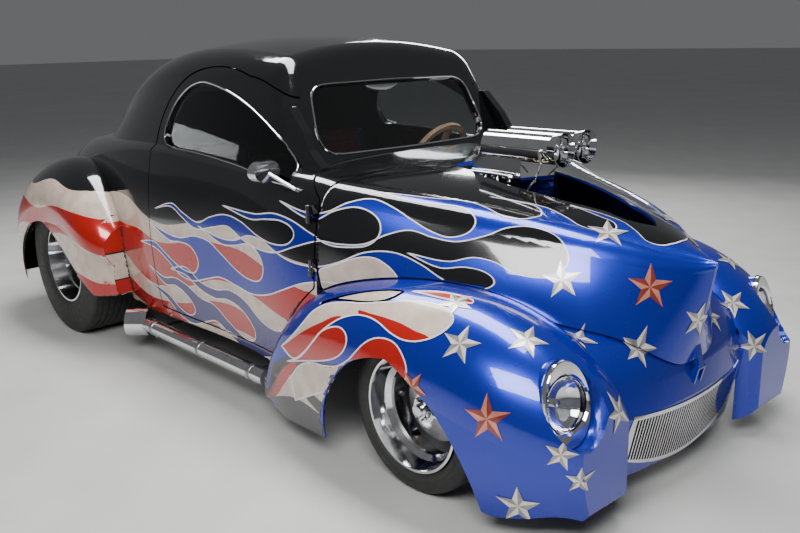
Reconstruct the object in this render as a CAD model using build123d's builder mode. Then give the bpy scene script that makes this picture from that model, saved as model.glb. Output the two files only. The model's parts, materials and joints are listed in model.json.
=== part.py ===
from build123d import *
import os
from functools import cache
from math import atan2, cos, degrees, radians, sin, sqrt

os.makedirs("parts", exist_ok=True)

# A 1940s-style coupe street machine: hollow coupe cab, pontoon fenders, pointed
# one-piece hood over an open blown engine, doors, boot lid and steered wheels.
# Millimetres. X runs forward, Y to the car's left, Z up from the floor.

# Layout
WHEELBASE = 2642.0
FRONT_OVERHANG = 690.0
REAR_OVERHANG = 1048.0
LENGTH = FRONT_OVERHANG + WHEELBASE + REAR_OVERHANG
FRONT_AXLE_X = LENGTH / 2 - FRONT_OVERHANG
REAR_AXLE_X = FRONT_AXLE_X - WHEELBASE

# Wheels: lip is the outer face of the rim, measured from the centreline
FRONT_TYRE_RADIUS = 292.5
FRONT_TYRE_WIDTH = 182.0
FRONT_RIM_RADIUS = 213.0
FRONT_LIP_Y = 776.0
REAR_TYRE_RADIUS = 388.5
REAR_TYRE_WIDTH = 345.0
REAR_RIM_RADIUS = 213.0
REAR_LIP_Y = 868.0
RIM_WALL = 9.0
TYRE_SEAT_GAP = 0.3
STEER_LOCK = 25.0
KINGPIN_Y = 590.0

# Panels
CAB_WALL = 40.0
SHEET = 10.0
SHUT_GAP = 6.0
FIT_GAP = 0.4
GLASS = 6.0
GLASS_DEPTH = 14.0

# Hood and cab meet at the cowl joint; the sill is the body's lower edge
COWL_X = -520.0
POST_WIDTH = 8.0
SILL_Z = 245.0
DOOR_REAR_X = -1800.0
NOSE_JOINT_Y = 425.0

# Body sections below the belt, from the cowl joint to the tail.
# Columns: x from the front axle, half width and height of the lower edge, of the belt,
# of the shoulder's inner end, and the height of the crown.
LOWER_BODY = [
    (COWL_X, 715, SILL_Z, 712, 975, 600, 1035, 1062),
    (-1000, 722, SILL_Z, 730, 1030, 600, 1075, 1095),
    (-1700, 722, SILL_Z, 728, 1060, 590, 1100, 1120),
    (-2250, 690, SILL_Z, 700, 1020, 590, 1080, 1105),
    (-2800, 615, SILL_Z + 20, 630, 905, 510, 1040, 1085),
    (-3170, 530, SILL_Z + 45, 545, 790, 420, 965, 1026),
    (-3460, 400, SILL_Z + 90, 420, 660, 320, 815, 885),
    (-3690, 240, SILL_Z + 150, 250, 540, 190, 620, 655),
]
SIDE_BULGE = [42, 40, 40, 40, 36, 34, 26, 14]

# Roof sections; same columns, from ahead of the windshield to the deck
ROOF = [
    (-640, 640, 950, 520, 1345, 410, 1410, 1440),
    (-1150, 712, 960, 600, 1415, 470, 1510, 1552),
    (-1600, 722, 960, 606, 1420, 470, 1522, 1566),
    (-2050, 700, 950, 575, 1345, 440, 1455, 1510),
    (-2500, 640, 930, 500, 1165, 370, 1275, 1330),
    (-2980, 520, 860, 400, 985, 270, 1030, 1046),
]
ROOF_BULGE = [10, 12, 12, 12, 10, 8]
BROW_RADIUS = 95.0

# Windshield plane, from its base to its top on the centreline
WINDSHIELD_BASE = (-772.0, 1085.0)
WINDSHIELD_TOP = (-905.0, 1375.0)
PILLAR_ROOT = [(-560.0, 1005.0), (-700.0, 1142.0), (-850.0, 1292.0), (-880.0, 1292.0), (-760.0, 990.0), (-560.0, 940.0)]
PILLAR_ROOT_Y = 515.0

# Hood sections from the cowl joint to the prow, with the same columns
HOOD = [
    (COWL_X, 722, 600, 712, 975, 600, 1035, 1062),
    (-200, 655, 600, 572, 925, 440, 990, 1032),
    (150, 515, 595, 405, 875, 290, 940, 980),
    (430, 372, 540, 248, 815, 165, 872, 905),
    (600, 190, 440, 96, 770, 60, 815, 838),
]
HOOD_BULGE = [36, 26, 20, 16, 8]
PROW_TOP = (690.0, 806.0)
PROW_FOOT = (628.0, 428.0)
PROW_HALF_WIDTH = 7.0

# Front sheet: pontoon sections. Columns: x from the front axle, inner wall, crown y and z,
# widest point y and z, lower edge y and z
FRONT_PONTOON = [
    (-852, 740, 770, 215, 792, 160, 786, 100),
    (-700, 620, 768, 440, 842, 255, 830, 98),
    (-500, 520, 762, 622, 868, 380, 852, 102),
    (-240, 470, 752, 690, 882, 420, 866, 108),
    (20, 430, 742, 704, 884, 425, 868, 108),
    (260, 400, 716, 680, 868, 395, 848, 104),
    (450, 400, 685, 612, 830, 350, 795, 76),
    (590, 410, 655, 512, 762, 325, 712, 72),
    (668, 460, 640, 424, 702, 312, 660, 130),
]
REAR_PONTOON = [
    (-2150, 640, 720, 640, 806, 450, 800, 290),
    (-2250, 600, 745, 770, 886, 500, 882, 285),
    (-2642, 520, 780, 938, 906, 620, 900, 270),
    (-3000, 500, 770, 858, 908, 540, 902, 230),
    (-3250, 470, 735, 690, 872, 430, 862, 195),
    (-3440, 480, 695, 470, 790, 330, 775, 200),
]

# Side profile of the nose between the pontoons, top line then front face
NOSE_TOP = [(COWL_X, 640.0), (150.0, 655.0), (450.0, 592.0), (575.0, 522.0), (632.0, 424.0), (655.0, 335.0)]
NOSE_FOOT = (598.0, 72.0)
NOSE_BOW_RADIUS = 1900.0
NOSE_BLOCK_END = 250.0
NOSE_BOW_START = 100.0
NOSE_BLOCK_Y = 560.0

# Grille opening on the nose, front view
GRILLE_HALF_WIDTH = 360.0
GRILLE_TOP_Z = 322.0
GRILLE_BOTTOM_Z = 96.0
GRILLE_RISE = 48.0
GRILLE_BARS = 45
GRILLE_BAR = 6.0
GRILLE_DEPTH = 26.0

# Lamps
HEADLAMP_X = 560.0
HEADLAMP_Y = 655.0
HEADLAMP_Z = 462.0

# Chassis
RAIL_Y = 330.0
RAIL_WIDTH = 60.0
RAIL_Z = (140.0, 232.0)

# Engine, measured from the front axle
ENGINE_X = (-510.0, 30.0)
ENGINE_TOP_Z = 640.0
CRANK_Z = 330.0
GEARBOX_LENGTH = 660.0
GEARBOX_HALF = (125.0, 115.0)
BLOWER_Z = (735.0, 925.0)
BLOWER_LENGTH = 380.0
SNOUT_LENGTH = 110.0
BELT_WIDTH = 70.0
SCOOP_Z = 1140.0
SCOOP_Y = 69.0
SCOOP_TUBE = 56.0
SCOOP_FLARE = 66.0
SCOOP_MOUTH_X = 105.0
SCOOP_TAIL_X = -255.0
SCOOP_WALL = 4.0
SCOOP_FLARE_LENGTH = 40.0
SCOOP_THROAT = 190.0

# Doors
DOOR_FRONT_X = COWL_X - POST_WIDTH - SHUT_GAP
DOOR_BOTTOM_Z = SILL_Z + 48
DOOR_INNER_Y = 520.0
DOOR_EASE = 6.0
NOTCH_FOOT_X = -792.0
NOTCH_MIDDLE = (-690.0, 470.0)
NOTCH_TOP_Z = 640.0
HINGE_X = COWL_X - POST_WIDTH - SHUT_GAP / 2
HINGE_Y = 772.0
HINGE_HEIGHTS = (720.0, 925.0)
HINGE_RADIUS = 7.0
HINGE_LENGTH = 34.0
HINGE_LEAF = 60.0
HINGE_SLIP = 0.3

# Glass holes: half widths at the foot and the top, half height, corner radius
WINDSHIELD_HALF = (505.0, 452.0, 152.0)
WINDSHIELD_CORNER = 80.0
REAR_WINDOW_X = -2470.0
REAR_WINDOW_Z = 1343.0
REAR_WINDOW_TILT = 28.0
REAR_WINDOW_BOW = 1366.0
REAR_WINDOW_HALF = (300.0, 260.0, 96.0)
REAR_WINDOW_CORNER = 70.0

# Boot lid, on a plane square to the tail's slope
BOOT_MIDDLE = (-3345.0, 800.0)
BOOT_TILT = 48.0
BOOT_HALF = (300.0, 400.0, 360.0)
BOOT_CORNER = 100.0
BOOT_HINGE_X = -3065.0
BOOT_HINGE_Z = 1052.0
BOOT_HINGE_Y = 230.0
BOOT_HINGE_RADIUS = 9.0
CAB_LEAF_DEPTH = 16.0
LID_LEAF_DEPTH = 20.0

# Rear wheel well
REAR_WELL_RADIUS = REAR_TYRE_RADIUS + 62
REAR_WELL_Y = REAR_LIP_Y - REAR_TYRE_WIDTH - 48
REAR_ARCH_TOP = (-2790.0, 612.0)

# Floor and its tunnel
PANEL = 8.0
FLOOR_Z = SILL_Z + 12
TUNNEL_HALF = 150.0
TUNNEL_TOP_Z = 470.0
BULKHEAD_X = -2020.0
SHELF_Z = 548.0

# Hood hinge and hood opening
HOOD_PIVOT = (652.0, 424.0)
HOOD_LUG = 30.0
HOOD_EAR = 10.0
HOOD_HOLE_REAR_X = -400.0
HOOD_HOLE_TIP_X = 455.0
HOOD_HOLE_HALF = 172.0

# Front arch and fender tail
ARCH_TOP_Z = 524.0
ARCH_FRONT = 378.0
ARCH_REAR = -368.0
TAIL_Y = 778.0

# Headlamps
HEADLAMP_TILT = 12.0
HEADLAMP_YAW = 8.0
HEADLAMP_HALF = (96.0, 138.0)
LENS_RADIUS = 82.0
LAMP_WALL = 5.0
LAMP_REACH = 150.0

# Tail lamps on the rear fenders' ends
TAIL_LAMP_Y = 640.0
TAIL_LAMP_Z = 400.0
TAIL_LAMP_RADIUS = 42.0

# Wheels and hubs
TYRE_BULGE = 9.0
FRONT_DISH = 85.0
REAR_DISH = 268.0
HUB_RADIUS = 52.0
SPOKES = 5
SPINDLE_RADIUS = 18.0
SPINDLE_GAP = 0.08
KINGPIN_RADIUS = 20.0
BRAKE_RADIUS = 140.0
ARM_GAP = 0.3
AXLE_TUBE = 42.0

# Side pipes
PIPE_Y = 752.0
PIPE_Z = 168.0
PIPE_RADIUS = 36.0
PIPE_X = (-2010.0, -900.0)
OUTLET_RADIUS = 70.0
OUTLET_LENGTH = 110.0

# Cabin
SEAT_X = -1480.0
SEAT_Y = 390.0
SEAT_WIDTH = 440.0
SEAT_CUSHION = 200.0
DASH_X = -700.0
DRIVER_Y = 390.0
STEERING_RADIUS = 175.0
COLUMN_RADIUS = 22.0
COLUMN_START = (-560.0, 742.0)
COLUMN_END = (-985.0, 985.0)

# Door mirror on the right door: foot on the door, oval head and the peg's two ends
MIRROR_FOOT = (-640.0, 716.0, 990.0)
MIRROR_HEAD = (-95.0, 96.0, 82.0)
MIRROR_PEG = (-20.0, 34.0)
MIRROR_STEM = 7.0
MIRROR_HALF = (68.0, 42.0)

# Small sizes
GRILLE_FRAME = 16.0
GRILLE_PROUD = 4.0
GRILLE_SWEEP = 26.0
RIM_LIP = 7.0
RIM_LIP_HEIGHT = 4.0
TUB_WALL = 6.0
TUB_OUTER_Y = 640.0
DIFF_RADIUS = 140.0
ROD_Y = 262.0
SHAFT_RADIUS = 36.0
CORE_X = 400.0
RADIATOR_HALF = 250.0
RADIATOR_HEIGHT = 320.0
LOWER_PULLEY = 80.0
UPPER_PULLEY = 68.0
BELT_THICK = 8.0
BLOWER_RIBS = 9
HAT_HALF = 105.0
DASH_HALF = 600.0

# Blower drive, set by the engine's middle
blower_mid_z = (BLOWER_Z[0] + BLOWER_Z[1]) / 2
blower_rear = FRONT_AXLE_X + (ENGINE_X[0] + ENGINE_X[1]) / 2 - BLOWER_LENGTH / 2
blower_front = blower_rear + BLOWER_LENGTH
belt_start = blower_front + SNOUT_LENGTH


def fx(x):
    """A length from the front axle to a place on the car."""
    return FRONT_AXLE_X + x


def cross_plane(x):
    """A plane across the car, with the sketch's x to the left and y up."""
    return Plane(origin=(fx(x), 0, 0), x_dir=(0, 1, 0), z_dir=(1, 0, 0))


def side_plane(y):
    """A plane along the car, with the sketch's x forward and y up."""
    return Plane(origin=(0, y, 0), x_dir=(1, 0, 0), z_dir=(0, -1, 0))


def sagitta(a, b, height):
    """The middle point of an arc from a to b that stands out to the left of the chord."""
    length = sqrt((b[0] - a[0]) ** 2 + (b[1] - a[1]) ** 2)
    nx, ny = -(b[1] - a[1]) / length, (b[0] - a[0]) / length
    return ((a[0] + b[0]) / 2 + nx * height, (a[1] + b[1]) / 2 + ny * height)


def body_section(plane, w0, z0, w1, z1, w2, z2, zt, bulge, inset=0.0):
    """A closed section: bottom, side arcs, shoulder arcs and one crown arc."""
    foot = (w0 - inset, z0)
    belt = (w1 - inset, z1 - inset * 0.2)
    neck = (w2 - inset * 0.55, z2 - inset * 0.85)
    crown = (0, zt - inset)
    turn = 0.14 * sqrt((belt[0] - neck[0]) ** 2 + (belt[1] - neck[1]) ** 2)
    side_mid = sagitta(foot, belt, -bulge)
    turn_mid = sagitta(belt, neck, -turn)
    with BuildSketch(plane) as section:
        with BuildLine():
            Line((-foot[0], foot[1]), foot)
            ThreePointArc(foot, side_mid, belt)
            ThreePointArc(belt, turn_mid, neck)
            ThreePointArc(neck, crown, (-neck[0], neck[1]))
            ThreePointArc((-neck[0], neck[1]), (-turn_mid[0], turn_mid[1]), (-belt[0], belt[1]))
            ThreePointArc((-belt[0], belt[1]), (-side_mid[0], side_mid[1]), (-foot[0], foot[1]))
        make_face()
    return section.sketch


def pontoon_section(x, yi, yc, zc, yo, zs, ye, zb, inset=0.0):
    """A fender's section on the left side: inner wall, crown arc and flank."""
    shoulder = (yi + inset * 0.0, zc - 70 - inset * 0.6)
    widest = (yo - inset, zs)
    foot = (ye - inset, zb - inset * 6)
    inner_foot = (shoulder[0], foot[1])
    with BuildSketch(cross_plane(x)) as section:
        with BuildLine():
            Line(inner_foot, shoulder)
            ThreePointArc(shoulder, (yc - inset * 0.3, zc - inset), widest)
            ThreePointArc(widest, sagitta(widest, foot, 8), foot)
            Line(foot, inner_foot)
        make_face()
    return section.sketch


@cache
def lower_body(inset, stretch=0.0):
    """The body below the belt as one solid; stretch moves its ends outward."""
    sections = []
    for index, row in enumerate(LOWER_BODY):
        x = row[0]
        if index == 0:
            x += stretch
        if index == len(LOWER_BODY) - 1:
            x += inset
        z0 = row[2] - (120 if inset > 0 else 0)
        sections.append(body_section(cross_plane(x), row[1], z0, *row[3:], SIDE_BULGE[index], inset))
    with BuildPart() as form:
        loft(sections)
    return form.part


def windshield_plane():
    """The glass plane, with the sketch's x to the left and y up the slope."""
    dx = WINDSHIELD_TOP[0] - WINDSHIELD_BASE[0]
    dz = WINDSHIELD_TOP[1] - WINDSHIELD_BASE[1]
    middle = ((WINDSHIELD_TOP[0] + WINDSHIELD_BASE[0]) / 2, (WINDSHIELD_TOP[1] + WINDSHIELD_BASE[1]) / 2)
    return Plane(origin=(fx(middle[0]), 0, middle[1]), x_dir=(0, 1, 0), z_dir=(dz, 0, -dx))


@cache
def roof_loft(inset):
    """The greenhouse before it is cut back at the windshield."""
    sections = [body_section(cross_plane(row[0]), *row[1:], bulge, inset) for row, bulge in zip(ROOF, ROOF_BULGE)]
    with BuildPart() as form:
        loft(sections)
    return form.part


def pillar_roots():
    """The flares that run forward from the windshield's sides onto the cowl, as a wall."""
    with BuildPart() as form:
        with BuildSketch(side_plane(-700)):
            with BuildLine():
                Polyline(*[(fx(x), z) for x, z in PILLAR_ROOT], close=True)
            make_face()
        extrude(amount=-1400)
        with Locations((fx(PILLAR_ROOT[0][0]), 0, 1100)):
            Box(1500, 2 * PILLAR_ROOT_Y, 900, mode=Mode.SUBTRACT)
        add(roof_loft(0.0), mode=Mode.INTERSECT)
        add(roof_loft(CAB_WALL), mode=Mode.SUBTRACT)
    return form.part


def roof_form(inset):
    """The greenhouse as one solid, cut back at the windshield, with a rounded brow."""
    with BuildPart() as form:
        add(roof_loft(inset))
        split(bisect_by=windshield_plane().offset(-inset), keep=Keep.BOTTOM)
        brow = form.edges().filter_by_position(
            Axis.Z, WINDSHIELD_BASE[1] + 60, 1600
        ).filter_by_position(Axis.X, fx(-1100), fx(-700))
        fillet(brow, BROW_RADIUS - inset)
    return form.part


def hood_form(inset):
    """The wedge hood as one solid, ending in the upright prow."""
    rows = list(HOOD)
    sections = []
    for index, row in enumerate(rows):
        x = row[0] - (60 if inset > 0 and index == 0 else 0)
        z0 = row[2] - (60 if inset > 0 else 0)
        sections.append(body_section(cross_plane(x), row[1], z0, *row[3:], HOOD_BULGE[index], inset))
    lean = Vector(PROW_TOP[1] - PROW_FOOT[1], 0, -(PROW_TOP[0] - PROW_FOOT[0])).normalized()
    prow = Plane(origin=(fx(PROW_FOOT[0]) - inset * 2.6, 0, PROW_FOOT[1]), x_dir=(0, 1, 0), z_dir=lean)
    height = sqrt((PROW_TOP[0] - PROW_FOOT[0]) ** 2 + (PROW_TOP[1] - PROW_FOOT[1]) ** 2)
    half = PROW_HALF_WIDTH * (0.6 if inset > 0 else 1)
    low = -60 if inset > 0 else -20
    top = height - inset
    sections.append(body_section(prow, half, low, half, top - 30, half * 0.6, top - 8, top, 1))
    with BuildPart() as form:
        loft(sections)
    return form.part


def nose_form(drop, back):
    """The sheet between the pontoons as one solid, bowed forward at the front."""
    crest = [(x - back, z - drop) for x, z in NOSE_TOP]
    floor_z = NOSE_FOOT[1] - max(drop, 0) * 6
    foot = (NOSE_FOOT[0] - back, floor_z)
    start_z = crest[1][1] + 2
    with BuildSketch(side_plane(0)) as block_outline:
        with BuildLine():
            Polyline(
                (fx(crest[0][0] + back), floor_z), (fx(NOSE_BLOCK_END), floor_z),
                (fx(NOSE_BLOCK_END), crest[1][1] - 22), (fx(crest[1][0]), crest[1][1]),
                (fx(crest[0][0] + back), crest[0][1]), close=True,
            )
        make_face()
    with BuildSketch(side_plane(0)) as bow_outline:
        with BuildLine():
            Line((fx(NOSE_BOW_START), floor_z), (fx(NOSE_BOW_START), start_z))
            Line((fx(NOSE_BOW_START), start_z), (fx(crest[1][0] + 60), crest[1][1]))
            Line((fx(crest[1][0] + 60), crest[1][1]), (fx(crest[2][0]), crest[2][1]))
            ThreePointArc(*[(fx(x), z) for x, z in crest[2:5]])
            Line((fx(crest[4][0]), crest[4][1]), (fx(crest[5][0]), crest[5][1]))
            Line((fx(crest[5][0]), crest[5][1]), (fx(foot[0]), foot[1]))
            Line((fx(foot[0]), foot[1]), (fx(NOSE_BOW_START), floor_z))
        make_face()
    bow_axis = Axis((fx(NOSE_TOP[-1][0] - NOSE_BOW_RADIUS), 0, 0), (0, 0, 1))
    sweep_angle = 2 * degrees(atan2(NOSE_BLOCK_Y, NOSE_BOW_RADIUS)) + 1
    with BuildPart() as form:
        revolve(bow_outline.sketch.rotate(bow_axis, -sweep_angle / 2), axis=bow_axis, revolution_arc=sweep_angle)
        extrude(block_outline.sketch, amount=NOSE_BLOCK_Y, both=True)
    return form.part


def front_sheet(inset):
    """Nose and both front pontoons as one solid."""
    sections = []
    for index, row in enumerate(FRONT_PONTOON):
        x = row[0]
        if index == 0:
            x += inset
        if index == len(FRONT_PONTOON) - 1:
            x -= inset
        sections.append(pontoon_section(x, *row[1:], inset))
    with BuildPart() as form:
        loft(sections)
        mirror(about=Plane.XZ)
        add(nose_form(inset, inset))
    return form.part


def rear_pontoon(inset):
    """The left rear pontoon as one solid."""
    sections = []
    for index, row in enumerate(REAR_PONTOON):
        x = row[0]
        if index == 0:
            x -= inset
        if index == len(REAR_PONTOON) - 1:
            x += inset
        sections.append(pontoon_section(x, *row[1:], inset))
    with BuildPart() as form:
        loft(sections)
    return form.part


def body_form(inset):
    """Lower body and greenhouse together; an inner form runs on through the cowl joint."""
    with BuildPart() as form:
        add(lower_body(inset, 100.0 if inset > 0 else 0.0))
        add(roof_form(inset))
        if inset == 0:
            add(pillar_roots())
    return form.part


def closed_arc_outline(points):
    """A closed outline of lines and arcs: each entry is a corner, or a middle point and a corner."""
    start = points[0][-1]
    last = start
    for entry in points[1:]:
        if len(entry) == 2:
            ThreePointArc(last, entry[0], entry[1])
        else:
            Line(last, entry[0])
        last = entry[-1]
    if last != start:
        Line(last, start)


def notch(gap):
    """The door's lower front edge, moved towards the fender's tail by a gap."""
    return [
        (fx(NOTCH_FOOT_X) + gap, DOOR_BOTTOM_Z - gap),
        (fx(NOTCH_MIDDLE[0]) + 0.8 * gap, NOTCH_MIDDLE[1] - 0.6 * gap),
        (fx(DOOR_FRONT_X), NOTCH_TOP_Z - gap),
    ]


# Door outline from the front top corner, over the roof rail, down the rear edge,
# along the sill and up the notch behind the front fender's tail.
DOOR_OUTLINE = [
    ((fx(DOOR_FRONT_X), 975),),
    ((fx(-715), 1132),),
    ((fx(-905), 1335), (fx(-1120), 1408)),
    ((fx(-1330), 1443), (fx(-1520), 1420)),
    ((fx(-1720), 1290), (fx(DOOR_REAR_X + 5), 1060)),
    ((fx(DOOR_REAR_X), 900),),
    ((fx(DOOR_REAR_X), DOOR_BOTTOM_Z),),
    ((fx(NOTCH_FOOT_X), DOOR_BOTTOM_Z),),
    (notch(0)[1], (fx(DOOR_FRONT_X), NOTCH_TOP_Z)),
]
WINDOW_OUTLINE = [
    ((fx(-672), 1004),),
    ((fx(-1000), 1245), (fx(-1420), 1376)),
    ((fx(-1640), 1295), (fx(-1716), 1175)),
    ((fx(-1712), 1110), (fx(-1640), 1082)),
    ((fx(-1200), 1066), (fx(-745), 1008)),
    ((fx(-700), 990), (fx(-672), 1004)),
]


def side_prism(outline, low_y, high_y, grow=0.0):
    """A side-view outline run across the car between two places on its left."""
    with BuildSketch(side_plane(high_y)) as face:
        with BuildLine():
            closed_arc_outline(outline)
        make_face()
        if grow:
            offset(amount=grow, kind=Kind.INTERSECTION)
    return extrude(face.sketch, amount=high_y - low_y)


def mirrored(solid):
    """The same solid on the car's right."""
    return solid.mirror(Plane.XZ)


def plane_prism(plane, half_width_low, half_width_high, half_height, corner, reach, grow=0.0):
    """A rounded trapezium on a plane, run both ways."""
    with BuildSketch(plane) as face:
        with BuildLine():
            Polyline(
                (-half_width_low, -half_height), (half_width_low, -half_height),
                (half_width_high, half_height), (-half_width_high, half_height), close=True,
            )
        make_face()
        fillet(face.vertices(), corner)
        if grow:
            offset(amount=grow)
    return extrude(face.sketch, amount=reach, both=True)


def write(name, solid):
    """Label a finished piece and write it."""
    solid.label = name
    export_step(solid, f"parts/{name}.step")


rear_tilt = radians(REAR_WINDOW_TILT)
rear_window_plane = Plane(
    origin=(fx(REAR_WINDOW_X), 0, REAR_WINDOW_Z), x_dir=(0, -1, 0), z_dir=(-sin(rear_tilt), 0, cos(rear_tilt))
)
boot_tilt = radians(BOOT_TILT)
boot_plane = Plane(
    origin=(fx(BOOT_MIDDLE[0]), 0, BOOT_MIDDLE[1]), x_dir=(0, -1, 0), z_dir=(-sin(boot_tilt), 0, cos(boot_tilt))
)


def mirror_foot_plane():
    """Where the mirror's stem enters the right door, square to the skin."""
    return Plane(origin=(fx(MIRROR_FOOT[0]), -MIRROR_FOOT[1], MIRROR_FOOT[2]), x_dir=(1, 0, 0), z_dir=(0, -1, 0.5))


body_outer = body_form(0.0)
body_inner = body_form(CAB_WALL)

windshield_hole = plane_prism(windshield_plane(), *WINDSHIELD_HALF, WINDSHIELD_CORNER, 75)
rear_window_hole = plane_prism(rear_window_plane, *REAR_WINDOW_HALF, REAR_WINDOW_CORNER, 120)
boot_hole = plane_prism(boot_plane, *BOOT_HALF, BOOT_CORNER, 420, SHUT_GAP)
boot_block = plane_prism(boot_plane, *BOOT_HALF, BOOT_CORNER, 420)
door_hole = side_prism(DOOR_OUTLINE, DOOR_INNER_Y, 950, SHUT_GAP)
door_ease = side_prism(DOOR_OUTLINE, DOOR_INNER_Y, 950, SHUT_GAP).translate((-DOOR_EASE, 0, 0))
door_block = side_prism(DOOR_OUTLINE, DOOR_INNER_Y, 950)
window_block = side_prism(WINDOW_OUTLINE, DOOR_INNER_Y, 960)
pane_block = side_prism(WINDOW_OUTLINE, DOOR_INNER_Y, 960, -FIT_GAP)

# The rear upper corner of the door moves back as it opens, so its gap is wider there
with BuildPart() as door_relief:
    add(door_ease)
    with Locations((fx(-1900), 735, 1300)):
        Box(900, 430, 480, mode=Mode.INTERSECT)

# Rear wheel opening in the cab side
with BuildPart() as rear_well:
    with BuildSketch(side_plane(1000)):
        with Locations((REAR_AXLE_X, REAR_TYRE_RADIUS)):
            Circle(REAR_WELL_RADIUS)
        with Locations((REAR_AXLE_X, 0)):
            Rectangle(2 * REAR_WELL_RADIUS, 2 * REAR_TYRE_RADIUS)
    extrude(amount=1000 - REAR_WELL_Y)

# Door hinges: upper knuckle on the cab's post, lower knuckle on the door
cab_knuckles = []
door_knuckles = []
for hinge_z in HINGE_HEIGHTS:
    with BuildPart() as cab_knuckle:
        with Locations((fx(HINGE_X), HINGE_Y, hinge_z + HINGE_LENGTH / 2)):
            Cylinder(HINGE_RADIUS, HINGE_LENGTH)
        with Locations((fx((HINGE_X + COWL_X) / 2), HINGE_Y - HINGE_LEAF / 2, hinge_z + HINGE_LENGTH / 2)):
            Box(COWL_X - HINGE_X, HINGE_LEAF, HINGE_LENGTH)
    cab_knuckles.append(cab_knuckle.part)
    with BuildPart() as door_knuckle:
        with Locations((fx(HINGE_X), HINGE_Y, hinge_z - HINGE_LENGTH / 2 - HINGE_SLIP)):
            Cylinder(HINGE_RADIUS, HINGE_LENGTH)
        with Locations((fx(HINGE_X) - 9, HINGE_Y - HINGE_LEAF / 2, hinge_z - HINGE_LENGTH / 2 - HINGE_SLIP)):
            Box(18, HINGE_LEAF, HINGE_LENGTH)
    door_knuckles.append(door_knuckle.part)

# Guide pad on the sill that the closed door rests on
with BuildPart() as sill_pad:
    with Locations((fx(-1200), 705, DOOR_BOTTOM_Z - (SHUT_GAP + 6) / 2)):
        Box(90, 26, SHUT_GAP + 6)

# Boot hinges: outer knuckles on the cab, inner ones on the lid
boot_cab_knuckles = []
boot_lid_knuckles = []
for side in (1, -1):
    for outer in (True, False):
        middle_y = side * (BOOT_HINGE_Y + (HINGE_LENGTH / 2 + HINGE_SLIP if outer else -HINGE_LENGTH / 2))
        leaf_x = BOOT_HINGE_X + (14 if outer else -16)
        leaf_height = CAB_LEAF_DEPTH if outer else LID_LEAF_DEPTH
        with BuildPart() as knuckle_piece:
            with Locations((fx(BOOT_HINGE_X), middle_y, BOOT_HINGE_Z)):
                Cylinder(BOOT_HINGE_RADIUS, HINGE_LENGTH, rotation=(90, 0, 0))
            with Locations((fx(leaf_x), middle_y, BOOT_HINGE_Z - leaf_height / 2)):
                Box(28, HINGE_LENGTH, leaf_height)
        (boot_cab_knuckles if outer else boot_lid_knuckles).append(knuckle_piece.part)

with BuildPart() as cab:
    add(body_outer)
    add(body_inner, mode=Mode.SUBTRACT)
    add([windshield_hole, rear_window_hole, boot_hole, rear_well.part, mirrored(rear_well.part)], mode=Mode.SUBTRACT)
    add([door_hole, mirrored(door_hole), door_relief.part, mirrored(door_relief.part)], mode=Mode.SUBTRACT)
cab_main = cab.part.solids().sort_by(SortBy.VOLUME)[-1]
with BuildPart() as cab_shell:
    add(cab_main)
    add(cab_knuckles + boot_cab_knuckles + [sill_pad.part])
    add([mirrored(piece) for piece in cab_knuckles + [sill_pad.part]])
write("cab_shell", cab_shell.part)

with BuildPart() as door:
    add(body_outer)
    add(body_inner, mode=Mode.SUBTRACT)
    add(door_block, mode=Mode.INTERSECT)
    add(window_block, mode=Mode.SUBTRACT)
    add(door_knuckles)
write("door_left", door.part)
with BuildPart() as door_right:
    add(mirrored(door.part))
    with Locations(mirror_foot_plane()):
        Cylinder(MIRROR_STEM + FIT_GAP, 70, mode=Mode.SUBTRACT)
write("door_right", door_right.part)

with BuildPart() as door_glass:
    add(roof_loft(GLASS_DEPTH))
    add(roof_loft(GLASS_DEPTH + GLASS), mode=Mode.SUBTRACT)
    add(pane_block, mode=Mode.INTERSECT)
write("door_glass_left", door_glass.part)
write("door_glass_right", mirrored(door_glass.part))

with BuildPart() as boot_lid:
    add(body_outer)
    add(body_inner, mode=Mode.SUBTRACT)
    add(boot_block, mode=Mode.INTERSECT)
    add(boot_lid_knuckles)
write("boot_lid", boot_lid.part)

windshield_pane = plane_prism(
    windshield_plane().offset(-GLASS_DEPTH), *WINDSHIELD_HALF, WINDSHIELD_CORNER, GLASS / 2, -FIT_GAP
)
write("windshield", windshield_pane)
slope = rear_window_plane.y_dir
rear_pane_block = plane_prism(rear_window_plane, *REAR_WINDOW_HALF, REAR_WINDOW_CORNER, 120, -FIT_GAP)
pane_end = Plane(origin=rear_window_plane.origin - slope * 130, x_dir=(0, 1, 0), z_dir=slope)
with BuildPart() as rear_window:
    with BuildSketch(pane_end):
        with Locations((0, -REAR_WINDOW_BOW)):
            Circle(REAR_WINDOW_BOW - GLASS_DEPTH)
            Circle(REAR_WINDOW_BOW - GLASS_DEPTH - GLASS, mode=Mode.SUBTRACT)
    extrude(amount=260)
    add(rear_pane_block, mode=Mode.INTERSECT)
write("rear_window", rear_window.part)

cab_inside = lower_body(CAB_WALL + FIT_GAP, 100.0)

# Hood: lifted clear of the sheet below it, open above the engine
with BuildPart() as hood_hole:
    with BuildSketch(Plane.XY.offset(700)):
        with BuildLine():
            tip = (fx(HOOD_HOLE_TIP_X), 0)
            shoulder_x, shoulder_y = fx(300), 80
            Line((fx(HOOD_HOLE_REAR_X), -120), (fx(HOOD_HOLE_REAR_X), 120))
            ThreePointArc((fx(HOOD_HOLE_REAR_X), 120), (fx(-60), HOOD_HOLE_HALF), (shoulder_x, shoulder_y))
            ThreePointArc((shoulder_x, shoulder_y), (fx(420), 40), tip)
            ThreePointArc(tip, (fx(420), -40), (shoulder_x, -shoulder_y))
            ThreePointArc((shoulder_x, -shoulder_y), (fx(-60), -HOOD_HOLE_HALF), (fx(HOOD_HOLE_REAR_X), -120))
        make_face()
    extrude(amount=600)

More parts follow.
